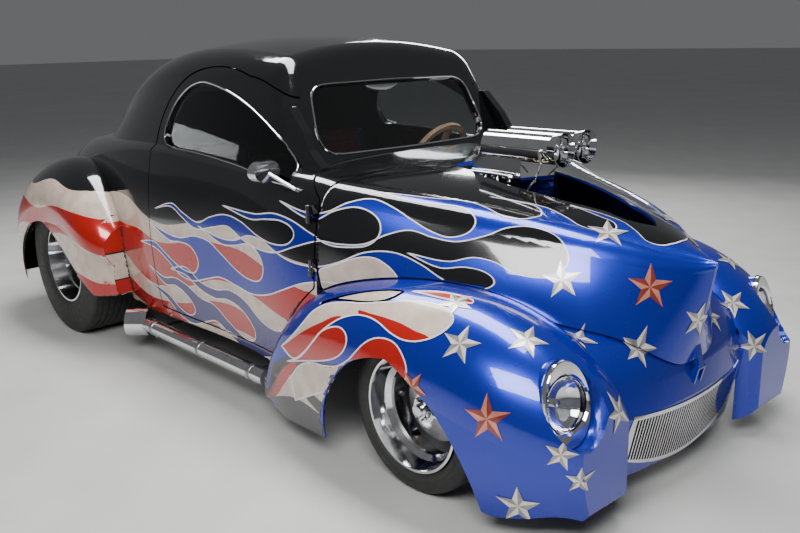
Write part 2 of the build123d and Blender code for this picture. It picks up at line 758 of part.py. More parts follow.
# Hood hinge at the prow's foot: one lug on the hood between two ears on the nose
with BuildPart() as hood_lug:
    with BuildSketch(side_plane(HOOD_LUG / 2)):
        with BuildLine():
            px, pz = fx(HOOD_PIVOT[0]), HOOD_PIVOT[1]
            Polyline((px + 9, pz), (px - 9, pz), (fx(624), 506), (fx(640), 506), close=True)
        make_face()
        with Locations((px, pz)):
            Circle(9)
    extrude(amount=HOOD_LUG)
with BuildPart() as hood_ears:
    for ear_y in (HOOD_LUG / 2 + HINGE_SLIP + HOOD_EAR, -HOOD_LUG / 2 - HINGE_SLIP):
        with BuildSketch(side_plane(ear_y)):
            with BuildLine():
                Polyline((px + 9, pz), (px - 6, pz - 62), (px - 30, pz - 48), (px - 9, pz), close=True)
            make_face()
            with Locations((px, pz)):
                Circle(9)
        extrude(amount=HOOD_EAR)

with BuildPart() as hood:
    add(hood_form(0.0))
    add(hood_form(SHEET), mode=Mode.SUBTRACT)
    add([front_sheet(-SHUT_GAP), hood_hole.part], mode=Mode.SUBTRACT)
    split(bisect_by=cross_plane(COWL_X + SHUT_GAP), keep=Keep.TOP)
    add(hood_lug.part)
write("hood", hood.part)

# Front sheet: nose between the pontoons, and the two front fenders
BAY = [(-530.0, 640.0), (-200.0, 585.0), (150.0, 440.0), (430.0, 300.0), (560.0, 140.0)]
with BuildPart() as bay:
    with BuildSketch(Plane.XY.offset(480)):
        with BuildLine():
            right = [(fx(x), -y) for x, y in BAY]
            left = [(fx(x), y) for x, y in reversed(BAY)]
            Polyline(*right, *left, close=True)
        make_face()
    extrude(amount=300)

with BuildPart() as front_arch:
    with BuildSketch(side_plane(1000)):
        with BuildLine():
            ThreePointArc((fx(ARCH_REAR), 60), (fx(-250), 415), (fx(0), ARCH_TOP_Z))
            ThreePointArc((fx(0), ARCH_TOP_Z), (fx(225), 380), (fx(ARCH_FRONT), 60))
            Polyline((fx(ARCH_FRONT), 60), (fx(ARCH_FRONT), -20), (fx(ARCH_REAR), -20), (fx(ARCH_REAR), 60))
        make_face()
    extrude(amount=400)

# Space swept by the door's lower front edge behind the fender's tail
with BuildPart() as door_sweep:
    with BuildSketch(side_plane(HINGE_Y)):
        with BuildLine():
            foot, middle, top = notch(SHUT_GAP)
            ThreePointArc(foot, middle, top)
            Polyline(top, (foot[0] - 400, top[1]), (foot[0] - 400, foot[1]), foot)
        make_face()
    revolve(axis=Axis((fx(HINGE_X), HINGE_Y, 0), (0, 0, 1)), revolution_arc=80)

with BuildPart() as behind_tail:
    with BuildSketch(Plane.XY):
        with Locations((fx(COWL_X) - 400, 0)):
            Rectangle(800, 2 * TAIL_Y)
    extrude(amount=1000)

def headlamp_plane(back=0.0):
    """The left headlamp's face: x to the left, y up the lamp, z out of its face."""
    tilt, yaw = radians(HEADLAMP_TILT), radians(HEADLAMP_YAW)
    face = Vector(cos(tilt) * cos(yaw), cos(tilt) * sin(yaw), sin(tilt))
    side = Vector(-sin(yaw), cos(yaw), 0)
    centre = Vector(fx(HEADLAMP_X), HEADLAMP_Y, HEADLAMP_Z) - face * back
    return Plane(origin=centre, x_dir=side, z_dir=face)


with BuildPart() as lamp_pocket:
    with BuildSketch(headlamp_plane(LAMP_REACH + FIT_GAP)):
        Ellipse(HEADLAMP_HALF[0] + FIT_GAP, HEADLAMP_HALF[1] + FIT_GAP)
    extrude(amount=LAMP_REACH + 210)

# The grille opening follows the bow of the nose
GRILLE_MID_Z = (GRILLE_TOP_Z + GRILLE_BOTTOM_Z) / 2
GRILLE_HALF_Z = (GRILLE_TOP_Z - GRILLE_BOTTOM_Z) / 2


def grille_outline(grow=0.0):
    """Front view of the grille, low in the middle and higher at its ends."""
    half, rise = GRILLE_HALF_WIDTH, GRILLE_RISE
    with BuildSketch(cross_plane(300)) as outline:
        with BuildLine():
            top_l, top_r = (half, GRILLE_TOP_Z + rise - 26), (-half, GRILLE_TOP_Z + rise - 26)
            low_l, low_r = (half - 16, GRILLE_BOTTOM_Z + rise + 22), (-half + 16, GRILLE_BOTTOM_Z + rise + 22)
            ThreePointArc(top_l, (0, GRILLE_TOP_Z), top_r)
            ThreePointArc(top_r, (-half - 8, GRILLE_MID_Z + rise), low_r)
            ThreePointArc(low_r, (0, GRILLE_BOTTOM_Z), low_l)
            ThreePointArc(low_l, (half + 8, GRILLE_MID_Z + rise), top_l)
        make_face()
        if grow:
            offset(amount=grow)
    return outline.sketch


with BuildPart() as sheet:
    add(front_sheet(0.0))
    add(front_sheet(SHEET), mode=Mode.SUBTRACT)
    add(bay.part, mode=Mode.SUBTRACT)
    cutters = [front_arch.part, door_sweep.part, lamp_pocket.part]
    add(cutters + [mirrored(solid) for solid in cutters], mode=Mode.SUBTRACT)
    add(behind_tail.part, mode=Mode.SUBTRACT)
    extrude(grille_outline(), amount=500, mode=Mode.SUBTRACT)

with BuildPart() as sides:
    with BuildSketch(Plane.XY.offset(-100)):
        with Locations((fx(0), 1500 / 2 + NOSE_JOINT_Y)):
            Rectangle(3000, 1500)
    extrude(amount=1400)
with BuildPart() as fender_front:
    add(sheet.part)
    add(sides.part, mode=Mode.INTERSECT)
write("fender_front_left", fender_front.part)
write("fender_front_right", mirrored(fender_front.part))
with BuildPart() as nose:
    add(sheet.part)
    add([sides.part, mirrored(sides.part)], mode=Mode.SUBTRACT)
    add(hood_ears.part)
write("nose_panel", nose.part)

# Rear fenders lie on the cab's flank
with BuildPart() as rear_arch:
    with BuildSketch(side_plane(1000)):
        with BuildLine():
            ThreePointArc((fx(-2215), 240), (fx(-2480), 470), (fx(REAR_ARCH_TOP[0]), REAR_ARCH_TOP[1]))
            ThreePointArc((fx(REAR_ARCH_TOP[0]), REAR_ARCH_TOP[1]), (fx(-3060), 500), (fx(-3210), 150))
            Polyline((fx(-3210), 150), (fx(-3210), 0), (fx(-2215), 0), (fx(-2215), 240))
        make_face()
    extrude(amount=560)
with BuildPart() as fender_rear:
    add(rear_pontoon(0.0))
    add(rear_pontoon(SHEET), mode=Mode.SUBTRACT)
    add(lower_body(-FIT_GAP), mode=Mode.SUBTRACT)
    add(rear_arch.part, mode=Mode.SUBTRACT)
write("fender_rear_left", fender_rear.part)
write("fender_rear_right", mirrored(fender_rear.part))


def bow_x(y):
    """How far forward the grille's line stands at a place across the car."""
    return fx(NOSE_TOP[-1][0]) - NOSE_BOW_RADIUS + sqrt(NOSE_BOW_RADIUS**2 - y**2)


# Grille: upright bars between two bowed rails, following the slope of the nose
grille_face = [(x + GRILLE_PROUD, z) for x, z in [*NOSE_TOP[-2:], NOSE_FOOT]]
grille_back = [(x - GRILLE_DEPTH, z) for x, z in reversed(grille_face)]
grille_pitch = 2 * (GRILLE_HALF_WIDTH - GRILLE_FRAME) / GRILLE_BARS
with BuildSketch(side_plane(0)) as grille_band:
    with BuildLine():
        Polyline(*[(fx(x), z) for x, z in grille_face + grille_back], close=True)
    make_face()
grille_axis = Axis((fx(NOSE_TOP[-1][0]) - NOSE_BOW_RADIUS, 0, 0), (0, 0, 1))
with BuildPart() as grille:
    revolve(grille_band.sketch.rotate(grille_axis, -GRILLE_SWEEP / 2), axis=grille_axis, revolution_arc=GRILLE_SWEEP)
    extrude(grille_outline(-FIT_GAP), amount=900, mode=Mode.INTERSECT)
    slot_boxes = []
    for index in range(GRILLE_BARS):
        place = (index - (GRILLE_BARS - 1) / 2) * grille_pitch
        spread = (place / GRILLE_HALF_WIDTH) ** 2
        low = GRILLE_BOTTOM_Z + GRILLE_FRAME + (GRILLE_RISE + 22) * spread
        high = GRILLE_TOP_Z - GRILLE_FRAME + (GRILLE_RISE - 26) * spread
        slot = Box(300, grille_pitch - GRILLE_BAR, high - low, mode=Mode.PRIVATE)
        slot_boxes.append(slot.translate((bow_x(place), place, (low + high) / 2)))
    add(slot_boxes, mode=Mode.SUBTRACT)
write("grille", grille.part)

# Headlamps: an oval bezel with a bowl in it, and a round lens
with BuildPart() as bezel:
    with BuildSketch(headlamp_plane(LAMP_REACH)):
        Ellipse(HEADLAMP_HALF[0], HEADLAMP_HALF[1])
    extrude(amount=LAMP_REACH + 18)
    with BuildSketch(headlamp_plane(40)):
        Circle(LENS_RADIUS + LAMP_WALL)
    extrude(amount=120, mode=Mode.SUBTRACT)
with BuildPart() as lens:
    with BuildSketch(headlamp_plane(40)):
        Circle(LENS_RADIUS + LAMP_WALL - FIT_GAP)
    extrude(amount=50)
    fillet(lens.edges().sort_by(Axis.X)[-1], 14)
with BuildPart() as headlamp_bezels:
    add([bezel.part, mirrored(bezel.part)])
write("headlamp_bezels", headlamp_bezels.part)
with BuildPart() as headlamp_lenses:
    add([lens.part, mirrored(lens.part)])
write("headlamp_lenses", headlamp_lenses.part)

# Tail lamps on the flat ends of the rear fenders
with BuildPart() as tail_lamps:
    with BuildSketch(Plane(origin=(fx(REAR_PONTOON[-1][0]), 0, 0), x_dir=(0, -1, 0), z_dir=(-1, 0, 0))):
        with Locations((TAIL_LAMP_Y, TAIL_LAMP_Z), (-TAIL_LAMP_Y, TAIL_LAMP_Z)):
            Circle(TAIL_LAMP_RADIUS)
    extrude(amount=24, taper=14)
write("tail_lamps", tail_lamps.part)

# Chassis: two box rails that rise over the rear axle, cross members, mounts and brackets
RAIL_SIDE = [
    (500, RAIL_Z[0]), (500, RAIL_Z[1]), (-2090, RAIL_Z[1]), (-2330, 530), (-2900, 530),
    (-3120, 440), (-3480, 440), (-3480, 360), (-3090, 360), (-2870, 450), (-2390, 450), (-2190, RAIL_Z[0]),
]
# Columns: x from the front axle, low and high, width along the car
CROSS_MEMBERS = [
    (350, 192, RAIL_Z[1], 60),
    (-150, RAIL_Z[0], 205, 80),
    (-1090, RAIL_Z[0], CRANK_Z - GEARBOX_HALF[1], 80),
    (-2110, RAIL_Z[0], RAIL_Z[1], 60),
    (-2400, 462, 520, 60),
    (-3300, 370, 430, 60),
]
# Columns: x from the front axle, low and high
BODY_MOUNTS = [(-900, RAIL_Z[1], FLOOR_Z), (-1900, RAIL_Z[1], FLOOR_Z), (-2450, 530, SHELF_Z), (-2840, 530, SHELF_Z)]
with BuildPart() as chassis:
    for side in (1, -1):
        with BuildSketch(side_plane(side * RAIL_Y + RAIL_WIDTH / 2)):
            with BuildLine():
                Polyline(*[(fx(x), z) for x, z in RAIL_SIDE], close=True)
            make_face()
        extrude(amount=RAIL_WIDTH)
    for x, low, high, width in CROSS_MEMBERS:
        with Locations((fx(x), 0, (low + high) / 2)):
            Box(width, 2 * RAIL_Y - RAIL_WIDTH, high - low)
    for x, low, high in BODY_MOUNTS:
        with Locations((fx(x), RAIL_Y, (low + high) / 2), (fx(x), -RAIL_Y, (low + high) / 2)):
            Cylinder(22, high - low)
    for side in (1, -1):
        with Locations((fx(-2110), side * ROD_Y, 290)):
            Box(24, 44, 2 * (290 - RAIL_Z[1]))
write("chassis_frame", chassis.part)

# Panel across the nose behind the radiator's front, which carries the sheet on the rails
with BuildPart() as core_panel:
    with BuildSketch(cross_plane(CORE_X)):
        with Locations((0, RAIL_Z[1] + 250)):
            Rectangle(1100, 500)
        with Locations((0, RAIL_Z[1] + 150)):
            Rectangle(2 * RADIATOR_HALF + 30, 400, mode=Mode.SUBTRACT)
    extrude(amount=PANEL)
    add(front_sheet(SHEET + FIT_GAP), mode=Mode.INTERSECT)
with BuildPart() as radiator:
    add(core_panel.part)
    with Locations((fx(CORE_X) - 25, 0, RAIL_Z[1] + RADIATOR_HEIGHT / 2)):
        Box(50, 2 * RADIATOR_HALF, RADIATOR_HEIGHT)
    for shroud_y in (RADIATOR_HALF + 8, -RADIATOR_HALF - 8):
        with Locations((fx(CORE_X) - 20, shroud_y, RAIL_Z[1] + 160)):
            Box(56, 20, 300)
write("radiator", radiator.part)

# Wheel tubs: an upright wall and a curved cover over each rear wheel
tub_outer = REAR_WELL_RADIUS - FIT_GAP
with BuildPart() as tub:
    with BuildSketch(side_plane(REAR_WELL_Y)):
        with Locations((REAR_AXLE_X, REAR_TYRE_RADIUS)):
            Circle(tub_outer)
        with Locations((REAR_AXLE_X, SHELF_Z / 2)):
            Rectangle(4 * tub_outer, SHELF_Z, mode=Mode.SUBTRACT)
    extrude(amount=TUB_WALL)
    with BuildSketch(side_plane(TUB_OUTER_Y)):
        with Locations((REAR_AXLE_X, REAR_TYRE_RADIUS)):
            Circle(tub_outer)
            Circle(tub_outer - TUB_WALL, mode=Mode.SUBTRACT)
        with Locations((REAR_AXLE_X, SHELF_Z / 2)):
            Rectangle(4 * tub_outer, SHELF_Z, mode=Mode.SUBTRACT)
    extrude(amount=TUB_OUTER_Y - REAR_WELL_Y + TUB_WALL)
    add(cab_inside, mode=Mode.INTERSECT)

# Floor with its tunnel, firewall, bulkhead and raised shelf inside the body's lower walls
with BuildPart() as floor_pan:
    with BuildSketch(side_plane(700)):
        with BuildLine():
            start_x, wall_x, end_x = fx(COWL_X) - PANEL, fx(BULKHEAD_X), fx(-3420)
            Polyline(
                (start_x + PANEL, FLOOR_Z), (start_x + PANEL, 1100), (start_x, 1100), (start_x, FLOOR_Z + PANEL),
                (wall_x + PANEL, FLOOR_Z + PANEL),
                (wall_x + PANEL, SHELF_Z + PANEL), (end_x, SHELF_Z + PANEL), (end_x, SHELF_Z),
                (wall_x, SHELF_Z), (wall_x, FLOOR_Z), close=True,
            )
        make_face()
    extrude(amount=1400)
    with Locations(((start_x + wall_x) / 2, 0, (FLOOR_Z + TUNNEL_TOP_Z) / 2)):
        Box(start_x - wall_x, 2 * TUNNEL_HALF, TUNNEL_TOP_Z - FLOOR_Z)
    with Locations(((start_x + wall_x) / 2, 0, TUNNEL_TOP_Z - PANEL - 300)):
        Box(start_x - wall_x + 4 * PANEL, 2 * (TUNNEL_HALF - PANEL), 600, mode=Mode.SUBTRACT)
    add(cab_inside, mode=Mode.INTERSECT)
    well_margin = REAR_WELL_RADIUS + FIT_GAP
    for side in (1, -1):
        with Locations((REAR_AXLE_X, side * (REAR_WELL_Y + 300 - TUB_WALL), 600)):
            Box(2 * well_margin, 600, 1200, mode=Mode.SUBTRACT)
    add([tub.part, mirrored(tub.part)])
write("floor_pan", floor_pan.part)


def axle_axis(axle_x, radius):
    """The line a wheel turns about."""
    return Axis((axle_x, 0, radius), (0, 1, 0))


def tyre_solid(radius, width, rim_radius, axle_x, lip_y):
    """A left tyre: rounded sidewalls, shoulders and a flat tread, open to its rim."""
    outer, inner = lip_y + TYRE_BULGE, lip_y + TYRE_BULGE - width
    bead_outer, bead_inner = lip_y - RIM_LIP - TYRE_SEAT_GAP, inner + TYRE_BULGE + RIM_LIP + TYRE_SEAT_GAP
    bead = rim_radius - RIM_LIP_HEIGHT
    flare = rim_radius + TYRE_SEAT_GAP * 2
    shoulder = radius - 0.4 * (radius - rim_radius)
    with BuildPart() as tyre:
        with BuildSketch(Plane.YZ.offset(axle_x)):
            with BuildLine():
                Polyline(
                    (bead_outer, radius + flare), (bead_outer, radius + bead),
                    (bead_inner, radius + bead), (bead_inner, radius + flare),
                )
                ThreePointArc(
                    (bead_inner, radius + flare), (inner + 6, radius + (flare + shoulder) / 2), (inner + 5, radius + shoulder)
                )
                ThreePointArc((inner + 5, radius + shoulder), (inner + 12, 2 * radius - 10), (inner + 32, 2 * radius))
                Line((inner + 32, 2 * radius), (outer - 32, 2 * radius))
                ThreePointArc((outer - 32, 2 * radius), (outer - 12, 2 * radius - 10), (outer - 5, radius + shoulder))
                ThreePointArc(
                    (outer - 5, radius + shoulder), (outer - 6, radius + (flare + shoulder) / 2), (bead_outer, radius + flare)
                )
            make_face()
        revolve(axis=axle_axis(axle_x, radius))
    return tyre.part


def wheel_solid(radius, width, rim_radius, axle_x, lip_y, dish, steps, spoke_faces, cap):
    """A left wheel: barrel with its lips, stepped dish, spokes, hub and cap."""
    disc_y = lip_y - dish
    inner = lip_y + 2 * TYRE_BULGE - width
    seat = rim_radius - RIM_LIP_HEIGHT - TYRE_SEAT_GAP
    wall = seat - RIM_WALL
    front = Plane(origin=(axle_x, disc_y, radius), x_dir=(1, 0, 0), z_dir=(0, 1, 0))
    with BuildPart() as wheel:
        with BuildSketch(Plane.YZ.offset(axle_x)):
            with BuildLine():
                Polyline(
                    (lip_y, radius + rim_radius), (lip_y - RIM_LIP, radius + rim_radius), (lip_y - RIM_LIP, radius + seat),
                    (inner + RIM_LIP, radius + seat), (inner + RIM_LIP, radius + rim_radius), (inner, radius + rim_radius),
                    (inner, radius + wall), (disc_y - 10, radius + wall),
                    *[(disc_y + along, radius + wall - down) for along, down in steps],
                    (lip_y, radius + wall + 4), close=True,
                )
            make_face()
        revolve(axis=axle_axis(axle_x, radius))
        with BuildSketch(front.offset(-12)):
            Circle(HUB_RADIUS)
            with PolarLocations(0, SPOKES, start_angle=90):
                for outline in spoke_faces:
                    with BuildLine():
                        Polyline(*outline, close=True)
                    make_face()
        extrude(amount=24)
        with BuildSketch(front.offset(12)):
            Circle(HUB_RADIUS - 14)
        extrude(amount=cap, taper=16)
        with BuildSketch(front.offset(-12)):
            Circle(SPINDLE_RADIUS + SPINDLE_GAP)
        extrude(amount=16, mode=Mode.SUBTRACT)
    return wheel.part


FRONT_STEPS = [(0, 30), (14, 30), (30, 12)]
REAR_STEPS = [(0, 58), (20, 58), (20, 40), (60, 40), (60, 24), (105, 24), (105, 10)]
front_reach = FRONT_RIM_RADIUS - 38
rear_reach = REAR_RIM_RADIUS - 66
FRONT_SPOKES = [
    [(HUB_RADIUS - 10, side * 5), (front_reach, side * 28), (front_reach, side * 46), (HUB_RADIUS - 10, side * 22)]
    for side in (1, -1)
]
REAR_SPOKES = [[(HUB_RADIUS - 6, -16), (rear_reach, -34), (rear_reach, 34), (HUB_RADIUS - 6, 16)]]
FRONT_WHEEL = (FRONT_TYRE_RADIUS, FRONT_TYRE_WIDTH, FRONT_RIM_RADIUS, FRONT_AXLE_X, FRONT_LIP_Y)
REAR_WHEEL = (REAR_TYRE_RADIUS, REAR_TYRE_WIDTH, REAR_RIM_RADIUS, REAR_AXLE_X, REAR_LIP_Y)
rolling = {
    "tyre_front": tyre_solid(*FRONT_WHEEL),
    "tyre_rear": tyre_solid(*REAR_WHEEL),
    "wheel_front": wheel_solid(*FRONT_WHEEL, FRONT_DISH, FRONT_STEPS, FRONT_SPOKES, 26),
    "wheel_rear": wheel_solid(*REAR_WHEEL, REAR_DISH, REAR_STEPS, REAR_SPOKES, 34),
}
for name, solid in rolling.items():
    write(f"{name}_left", solid)
    write(f"{name}_right", mirrored(solid))

# Steering knuckles: kingpin post, spindle, brake disc and steering arm
with BuildPart() as knuckle:
    hub_end = FRONT_LIP_Y - FRONT_DISH + 2
    post = Plane(origin=(FRONT_AXLE_X, KINGPIN_Y, FRONT_TYRE_RADIUS), x_dir=(1, 0, 0), z_dir=(0, 1, 0))
    with Locations((FRONT_AXLE_X, KINGPIN_Y, FRONT_TYRE_RADIUS)):
        Cylinder(KINGPIN_RADIUS, 214)
    with BuildSketch(post):
        Circle(SPINDLE_RADIUS)
    extrude(amount=hub_end - KINGPIN_Y)
    with BuildSketch(post.offset(34)):
        Circle(BRAKE_RADIUS)
    extrude(amount=20)
    with BuildSketch(post):
        Circle(34)
    extrude(amount=36)
    with Locations((FRONT_AXLE_X - 60, KINGPIN_Y - 4, 232)):
        Box(120, 16, 20)
write("knuckle_left", knuckle.part)
write("knuckle_right", mirrored(knuckle.part))

# Front suspension: cross member, arms, coil-overs and steering rack
with BuildPart() as front_suspension:
    arm_end = KINGPIN_Y - KINGPIN_RADIUS - ARM_GAP
    tower_y = RAIL_Y + RAIL_WIDTH / 2 + 12
    with Locations((FRONT_AXLE_X, 0, RAIL_Z[0] - 25)):
        Box(110, 2 * (tower_y + 12), 50)
    for side in (1, -1):
        with Locations((FRONT_AXLE_X, side * tower_y, 245)):
            Box(190, 24, 310)
        for arm_z, spread in ((FRONT_TYRE_RADIUS - 92, 92), (FRONT_TYRE_RADIUS + 90, 70)):
            with BuildSketch(Plane.XY.offset(arm_z - 10)):
                with BuildLine():
                    Polyline(
                        (FRONT_AXLE_X - 20, side * arm_end), (FRONT_AXLE_X + 20, side * arm_end),
                        (FRONT_AXLE_X + spread, side * tower_y), (FRONT_AXLE_X - spread, side * tower_y), close=True,
                    )
                make_face()
            extrude(amount=20)
        with BuildSketch(Plane(origin=(FRONT_AXLE_X, side * 470, FRONT_TYRE_RADIUS - 92), z_dir=(0, -side * 0.16, 1))):
            Circle(32)
        extrude(amount=270)
        with Locations((FRONT_AXLE_X, side * (tower_y + 28), FRONT_TYRE_RADIUS + 150)):
            Box(70, 56, 20)
    with Locations((fx(205), 0, RAIL_Z[1] + 20.3)):
        Cylinder(20, 2 * 450, rotation=(90, 0, 0))
    with Locations((fx(205), 330, RAIL_Z[1] + 8), (fx(205), -330, RAIL_Z[1] + 8)):
        Box(40, 40, 16)
write("front_suspension", front_suspension.part)

# Rear axle: tubes, centre, hubs, brakes, radius rods and propeller shaft
gearbox_end = fx(ENGINE_X[0]) - GEARBOX_LENGTH
with BuildPart() as rear_axle:
    hub_y = REAR_LIP_Y - REAR_DISH - 12
    with Locations((REAR_AXLE_X, 0, REAR_TYRE_RADIUS)):
        Cylinder(AXLE_TUBE, 2 * (hub_y - 50), rotation=(90, 0, 0))
        Cylinder(SPINDLE_RADIUS, 2 * (hub_y + 14), rotation=(90, 0, 0))
        Sphere(DIFF_RADIUS)
    for side in (1, -1):
        with Locations((REAR_AXLE_X, side * (hub_y - 40), REAR_TYRE_RADIUS)):
            Cylinder(BRAKE_RADIUS, 20, rotation=(90, 0, 0))
        with Locations((REAR_AXLE_X, side * ROD_Y, REAR_TYRE_RADIUS - 70)):
            Box(70, 16, 160)
        for rod_z in (REAR_TYRE_RADIUS - 120, REAR_TYRE_RADIUS - 62):
            with Locations(((REAR_AXLE_X + fx(-2122.4)) / 2, side * ROD_Y, rod_z)):
                Cylinder(14, fx(-2122.4) - REAR_AXLE_X, rotation=(0, 90, 0))
        with Locations((REAR_AXLE_X, side * RAIL_Y, (REAR_TYRE_RADIUS + 450) / 2)):
            Box(56, 44, 450 - REAR_TYRE_RADIUS)
    shaft_rise = REAR_TYRE_RADIUS - CRANK_Z
    shaft_run = gearbox_end - REAR_AXLE_X
    with BuildSketch(Plane(origin=(gearbox_end - 2, 0, CRANK_Z), z_dir=(-shaft_run, 0, shaft_rise))):
        Circle(SHAFT_RADIUS)
    extrude(amount=shaft_run - DIFF_RADIUS / 2)
write("rear_axle", rear_axle.part)

# Engine with its gearbox: V block, heads, crank pulley
mid_x = fx((ENGINE_X[0] + ENGINE_X[1]) / 2)
with BuildPart() as engine:
    with BuildSketch(cross_plane(ENGINE_X[0])):
        with BuildLine():
            Polyline(
                (-130, 205), (130, 205), (150, 330), (110, 420), (268, 585), (205, 652), (120, 575), (95, ENGINE_TOP_Z),
                (-95, ENGINE_TOP_Z), (-120, 575), (-205, 652), (-268, 585), (-110, 420), (-150, 330), close=True,
            )
        make_face()
    extrude(amount=ENGINE_X[1] - ENGINE_X[0])
    with BuildSketch(cross_plane(ENGINE_X[1])):
        with Locations((0, CRANK_Z)):
            Circle(45)
    extrude(amount=belt_start - fx(ENGINE_X[1]))
    with BuildSketch(cross_plane(belt_start - FRONT_AXLE_X)):
        with Locations((0, CRANK_Z)):
            Circle(LOWER_PULLEY)
    extrude(amount=BELT_WIDTH)
    with Locations(((fx(ENGINE_X[0]) + gearbox_end) / 2, 0, CRANK_Z)):
        Box(GEARBOX_LENGTH, 2 * GEARBOX_HALF[0], 2 * GEARBOX_HALF[1])
    with Locations((mid_x, 0, (ENGINE_TOP_Z + BLOWER_Z[0]) / 2)):
        Box(ENGINE_X[1] - ENGINE_X[0] - 120, 190, BLOWER_Z[0] - ENGINE_TOP_Z)
write("engine_block", engine.part)

# Blower: two rotor bores in one ribbed case, with its nose and drive pulley
with BuildPart() as blower:
    with BuildSketch(cross_plane(blower_rear - FRONT_AXLE_X)):
        bore = (BLOWER_Z[1] - BLOWER_Z[0]) / 2 - 5
        with Locations((64, blower_mid_z), (-64, blower_mid_z)):
            Circle(bore)
        with Locations((0, blower_mid_z)):
            Rectangle(170, BLOWER_Z[1] - BLOWER_Z[0])
    extrude(amount=BLOWER_LENGTH)
    for index in range(BLOWER_RIBS):
        rib_x = blower_rear + 26 + index * (BLOWER_LENGTH - 52) / (BLOWER_RIBS - 1)
        with BuildSketch(cross_plane(rib_x - 4 - FRONT_AXLE_X)):
            with Locations((64, blower_mid_z), (-64, blower_mid_z)):
                Circle(bore + 8)
            with Locations((0, blower_mid_z)):
                Rectangle(400, 150, mode=Mode.INTERSECT)
        extrude(amount=8)
    with BuildSketch(cross_plane(blower_front - FRONT_AXLE_X)):
        with Locations((0, blower_mid_z)):
            Circle(60)
    extrude(amount=SNOUT_LENGTH)
    with BuildSketch(cross_plane(belt_start - FRONT_AXLE_X)):
        with Locations((0, blower_mid_z)):
            Circle(UPPER_PULLEY)
    extrude(amount=BELT_WIDTH)
write("blower", blower.part)

# Toothed belt round the two pulleys
with BuildPart() as belt:
    with BuildSketch(cross_plane(belt_start - FRONT_AXLE_X)):
        for grow, mode in ((FIT_GAP + BELT_THICK, Mode.ADD), (FIT_GAP, Mode.SUBTRACT)):
            with BuildSketch(cross_plane(belt_start - FRONT_AXLE_X), mode=mode):
                with Locations((0, blower_mid_z)):
                    Circle(UPPER_PULLEY + grow)
                with Locations((0, CRANK_Z)):
                    Circle(LOWER_PULLEY + grow)
                make_hull()
    extrude(amount=BELT_WIDTH)
write("blower_belt", belt.part)

# Injector hat with twin scoop tubes, flared at their mouths
with BuildPart() as scoop:
    with BuildSketch(side_plane(HAT_HALF)):
        with BuildLine():
            Polyline(
                (fx(-350), BLOWER_Z[1]), (fx(-350), 1015), (fx(SCOOP_TAIL_X) - 12, SCOOP_Z - 20),
                (fx(-70), SCOOP_Z - 20), (fx(-70), BLOWER_Z[1]), close=True,
            )
        make_face()
    extrude(amount=2 * HAT_HALF)
    tube_back, flare_back, mouth_x = fx(SCOOP_TAIL_X), fx(SCOOP_MOUTH_X) - SCOOP_FLARE_LENGTH, fx(SCOOP_MOUTH_X)
    for side in (1, -1):
        tube_y = side * SCOOP_Y
        with BuildSketch(side_plane(tube_y)):
            with BuildLine():
                Polyline(
                    (tube_back, SCOOP_Z), (tube_back, SCOOP_Z + SCOOP_TUBE), (flare_back, SCOOP_Z + SCOOP_TUBE),
                    (mouth_x, SCOOP_Z + SCOOP_FLARE), (mouth_x, SCOOP_Z + SCOOP_FLARE - SCOOP_WALL),
                    (flare_back, SCOOP_Z + SCOOP_TUBE - SCOOP_WALL), (tube_back + SCOOP_THROAT, SCOOP_Z + SCOOP_TUBE - SCOOP_WALL),
                    (tube_back + SCOOP_THROAT, SCOOP_Z), close=True,
                )
            make_face()
        revolve(axis=Axis((0, tube_y, SCOOP_Z), (1, 0, 0)))
write("scoop", scoop.part)

# Side pipes with outlets that turn outward ahead of the rear wheels
with BuildPart() as side_pipe:
    with BuildSketch(cross_plane(PIPE_X[0])):
        with Locations((PIPE_Y, PIPE_Z)):
            Circle(PIPE_RADIUS)
    extrude(amount=PIPE_X[1] - PIPE_X[0])
    turn = Vector(-1, 0.95, 0).normalized()
    outlet_start = Vector(fx(PIPE_X[0]) + 30, PIPE_Y - 28, PIPE_Z)
    with BuildSketch(Plane(origin=outlet_start, z_dir=turn)):
        Circle(OUTLET_RADIUS)
    extrude(amount=OUTLET_LENGTH)
    with BuildSketch(Plane(origin=outlet_start + turn * 40, z_dir=turn)):
        Circle(OUTLET_RADIUS - 5)
    extrude(amount=OUTLET_LENGTH, mode=Mode.SUBTRACT)
    for hanger_x in (-1000, -1850):
        with Locations((fx(hanger_x), (RAIL_Y + RAIL_WIDTH / 2 + PIPE_Y) / 2, PIPE_Z)):
            Box(40, PIPE_Y - RAIL_Y - RAIL_WIDTH / 2, 12)
with BuildPart() as side_pipes:
    add([side_pipe.part, mirrored(side_pipe.part)])
write("side_pipes", side_pipes.part)

with BuildPart() as tank:
    with Locations((fx(-3180), 0, 310)):
        Box(380, 680, 100)
    fillet(tank.edges().filter_by(Axis.Z), 40)
write("fuel_tank", tank.part)

# Seats as plain closed forms
with BuildPart() as seat_base:
    with Locations((fx(SEAT_X), SEAT_Y, FLOOR_Z + PANEL + SEAT_CUSHION / 2)):
        Box(480, SEAT_WIDTH, SEAT_CUSHION)
    fillet(seat_base.edges().filter_by(Axis.Z), 50)
with BuildPart() as seat_back:
    with BuildSketch(side_plane(SEAT_Y + SEAT_WIDTH / 2)):
        with BuildLine():
            rear = fx(SEAT_X) - 240 - FIT_GAP
            Polyline(
                (rear, FLOOR_Z + PANEL), (rear, 480), (rear - 95, 1085), (rear - 175, 1085),
                (rear - 120, FLOOR_Z + PANEL), close=True,
            )
        make_face()
    extrude(amount=SEAT_WIDTH)
with BuildPart() as seat_bases:
    add([seat_base.part, mirrored(seat_base.part)])
write("seat_bases", seat_bases.part)
with BuildPart() as seat_backs:
    add([seat_back.part, mirrored(seat_back.part)])
write("seat_backs", seat_backs.part)

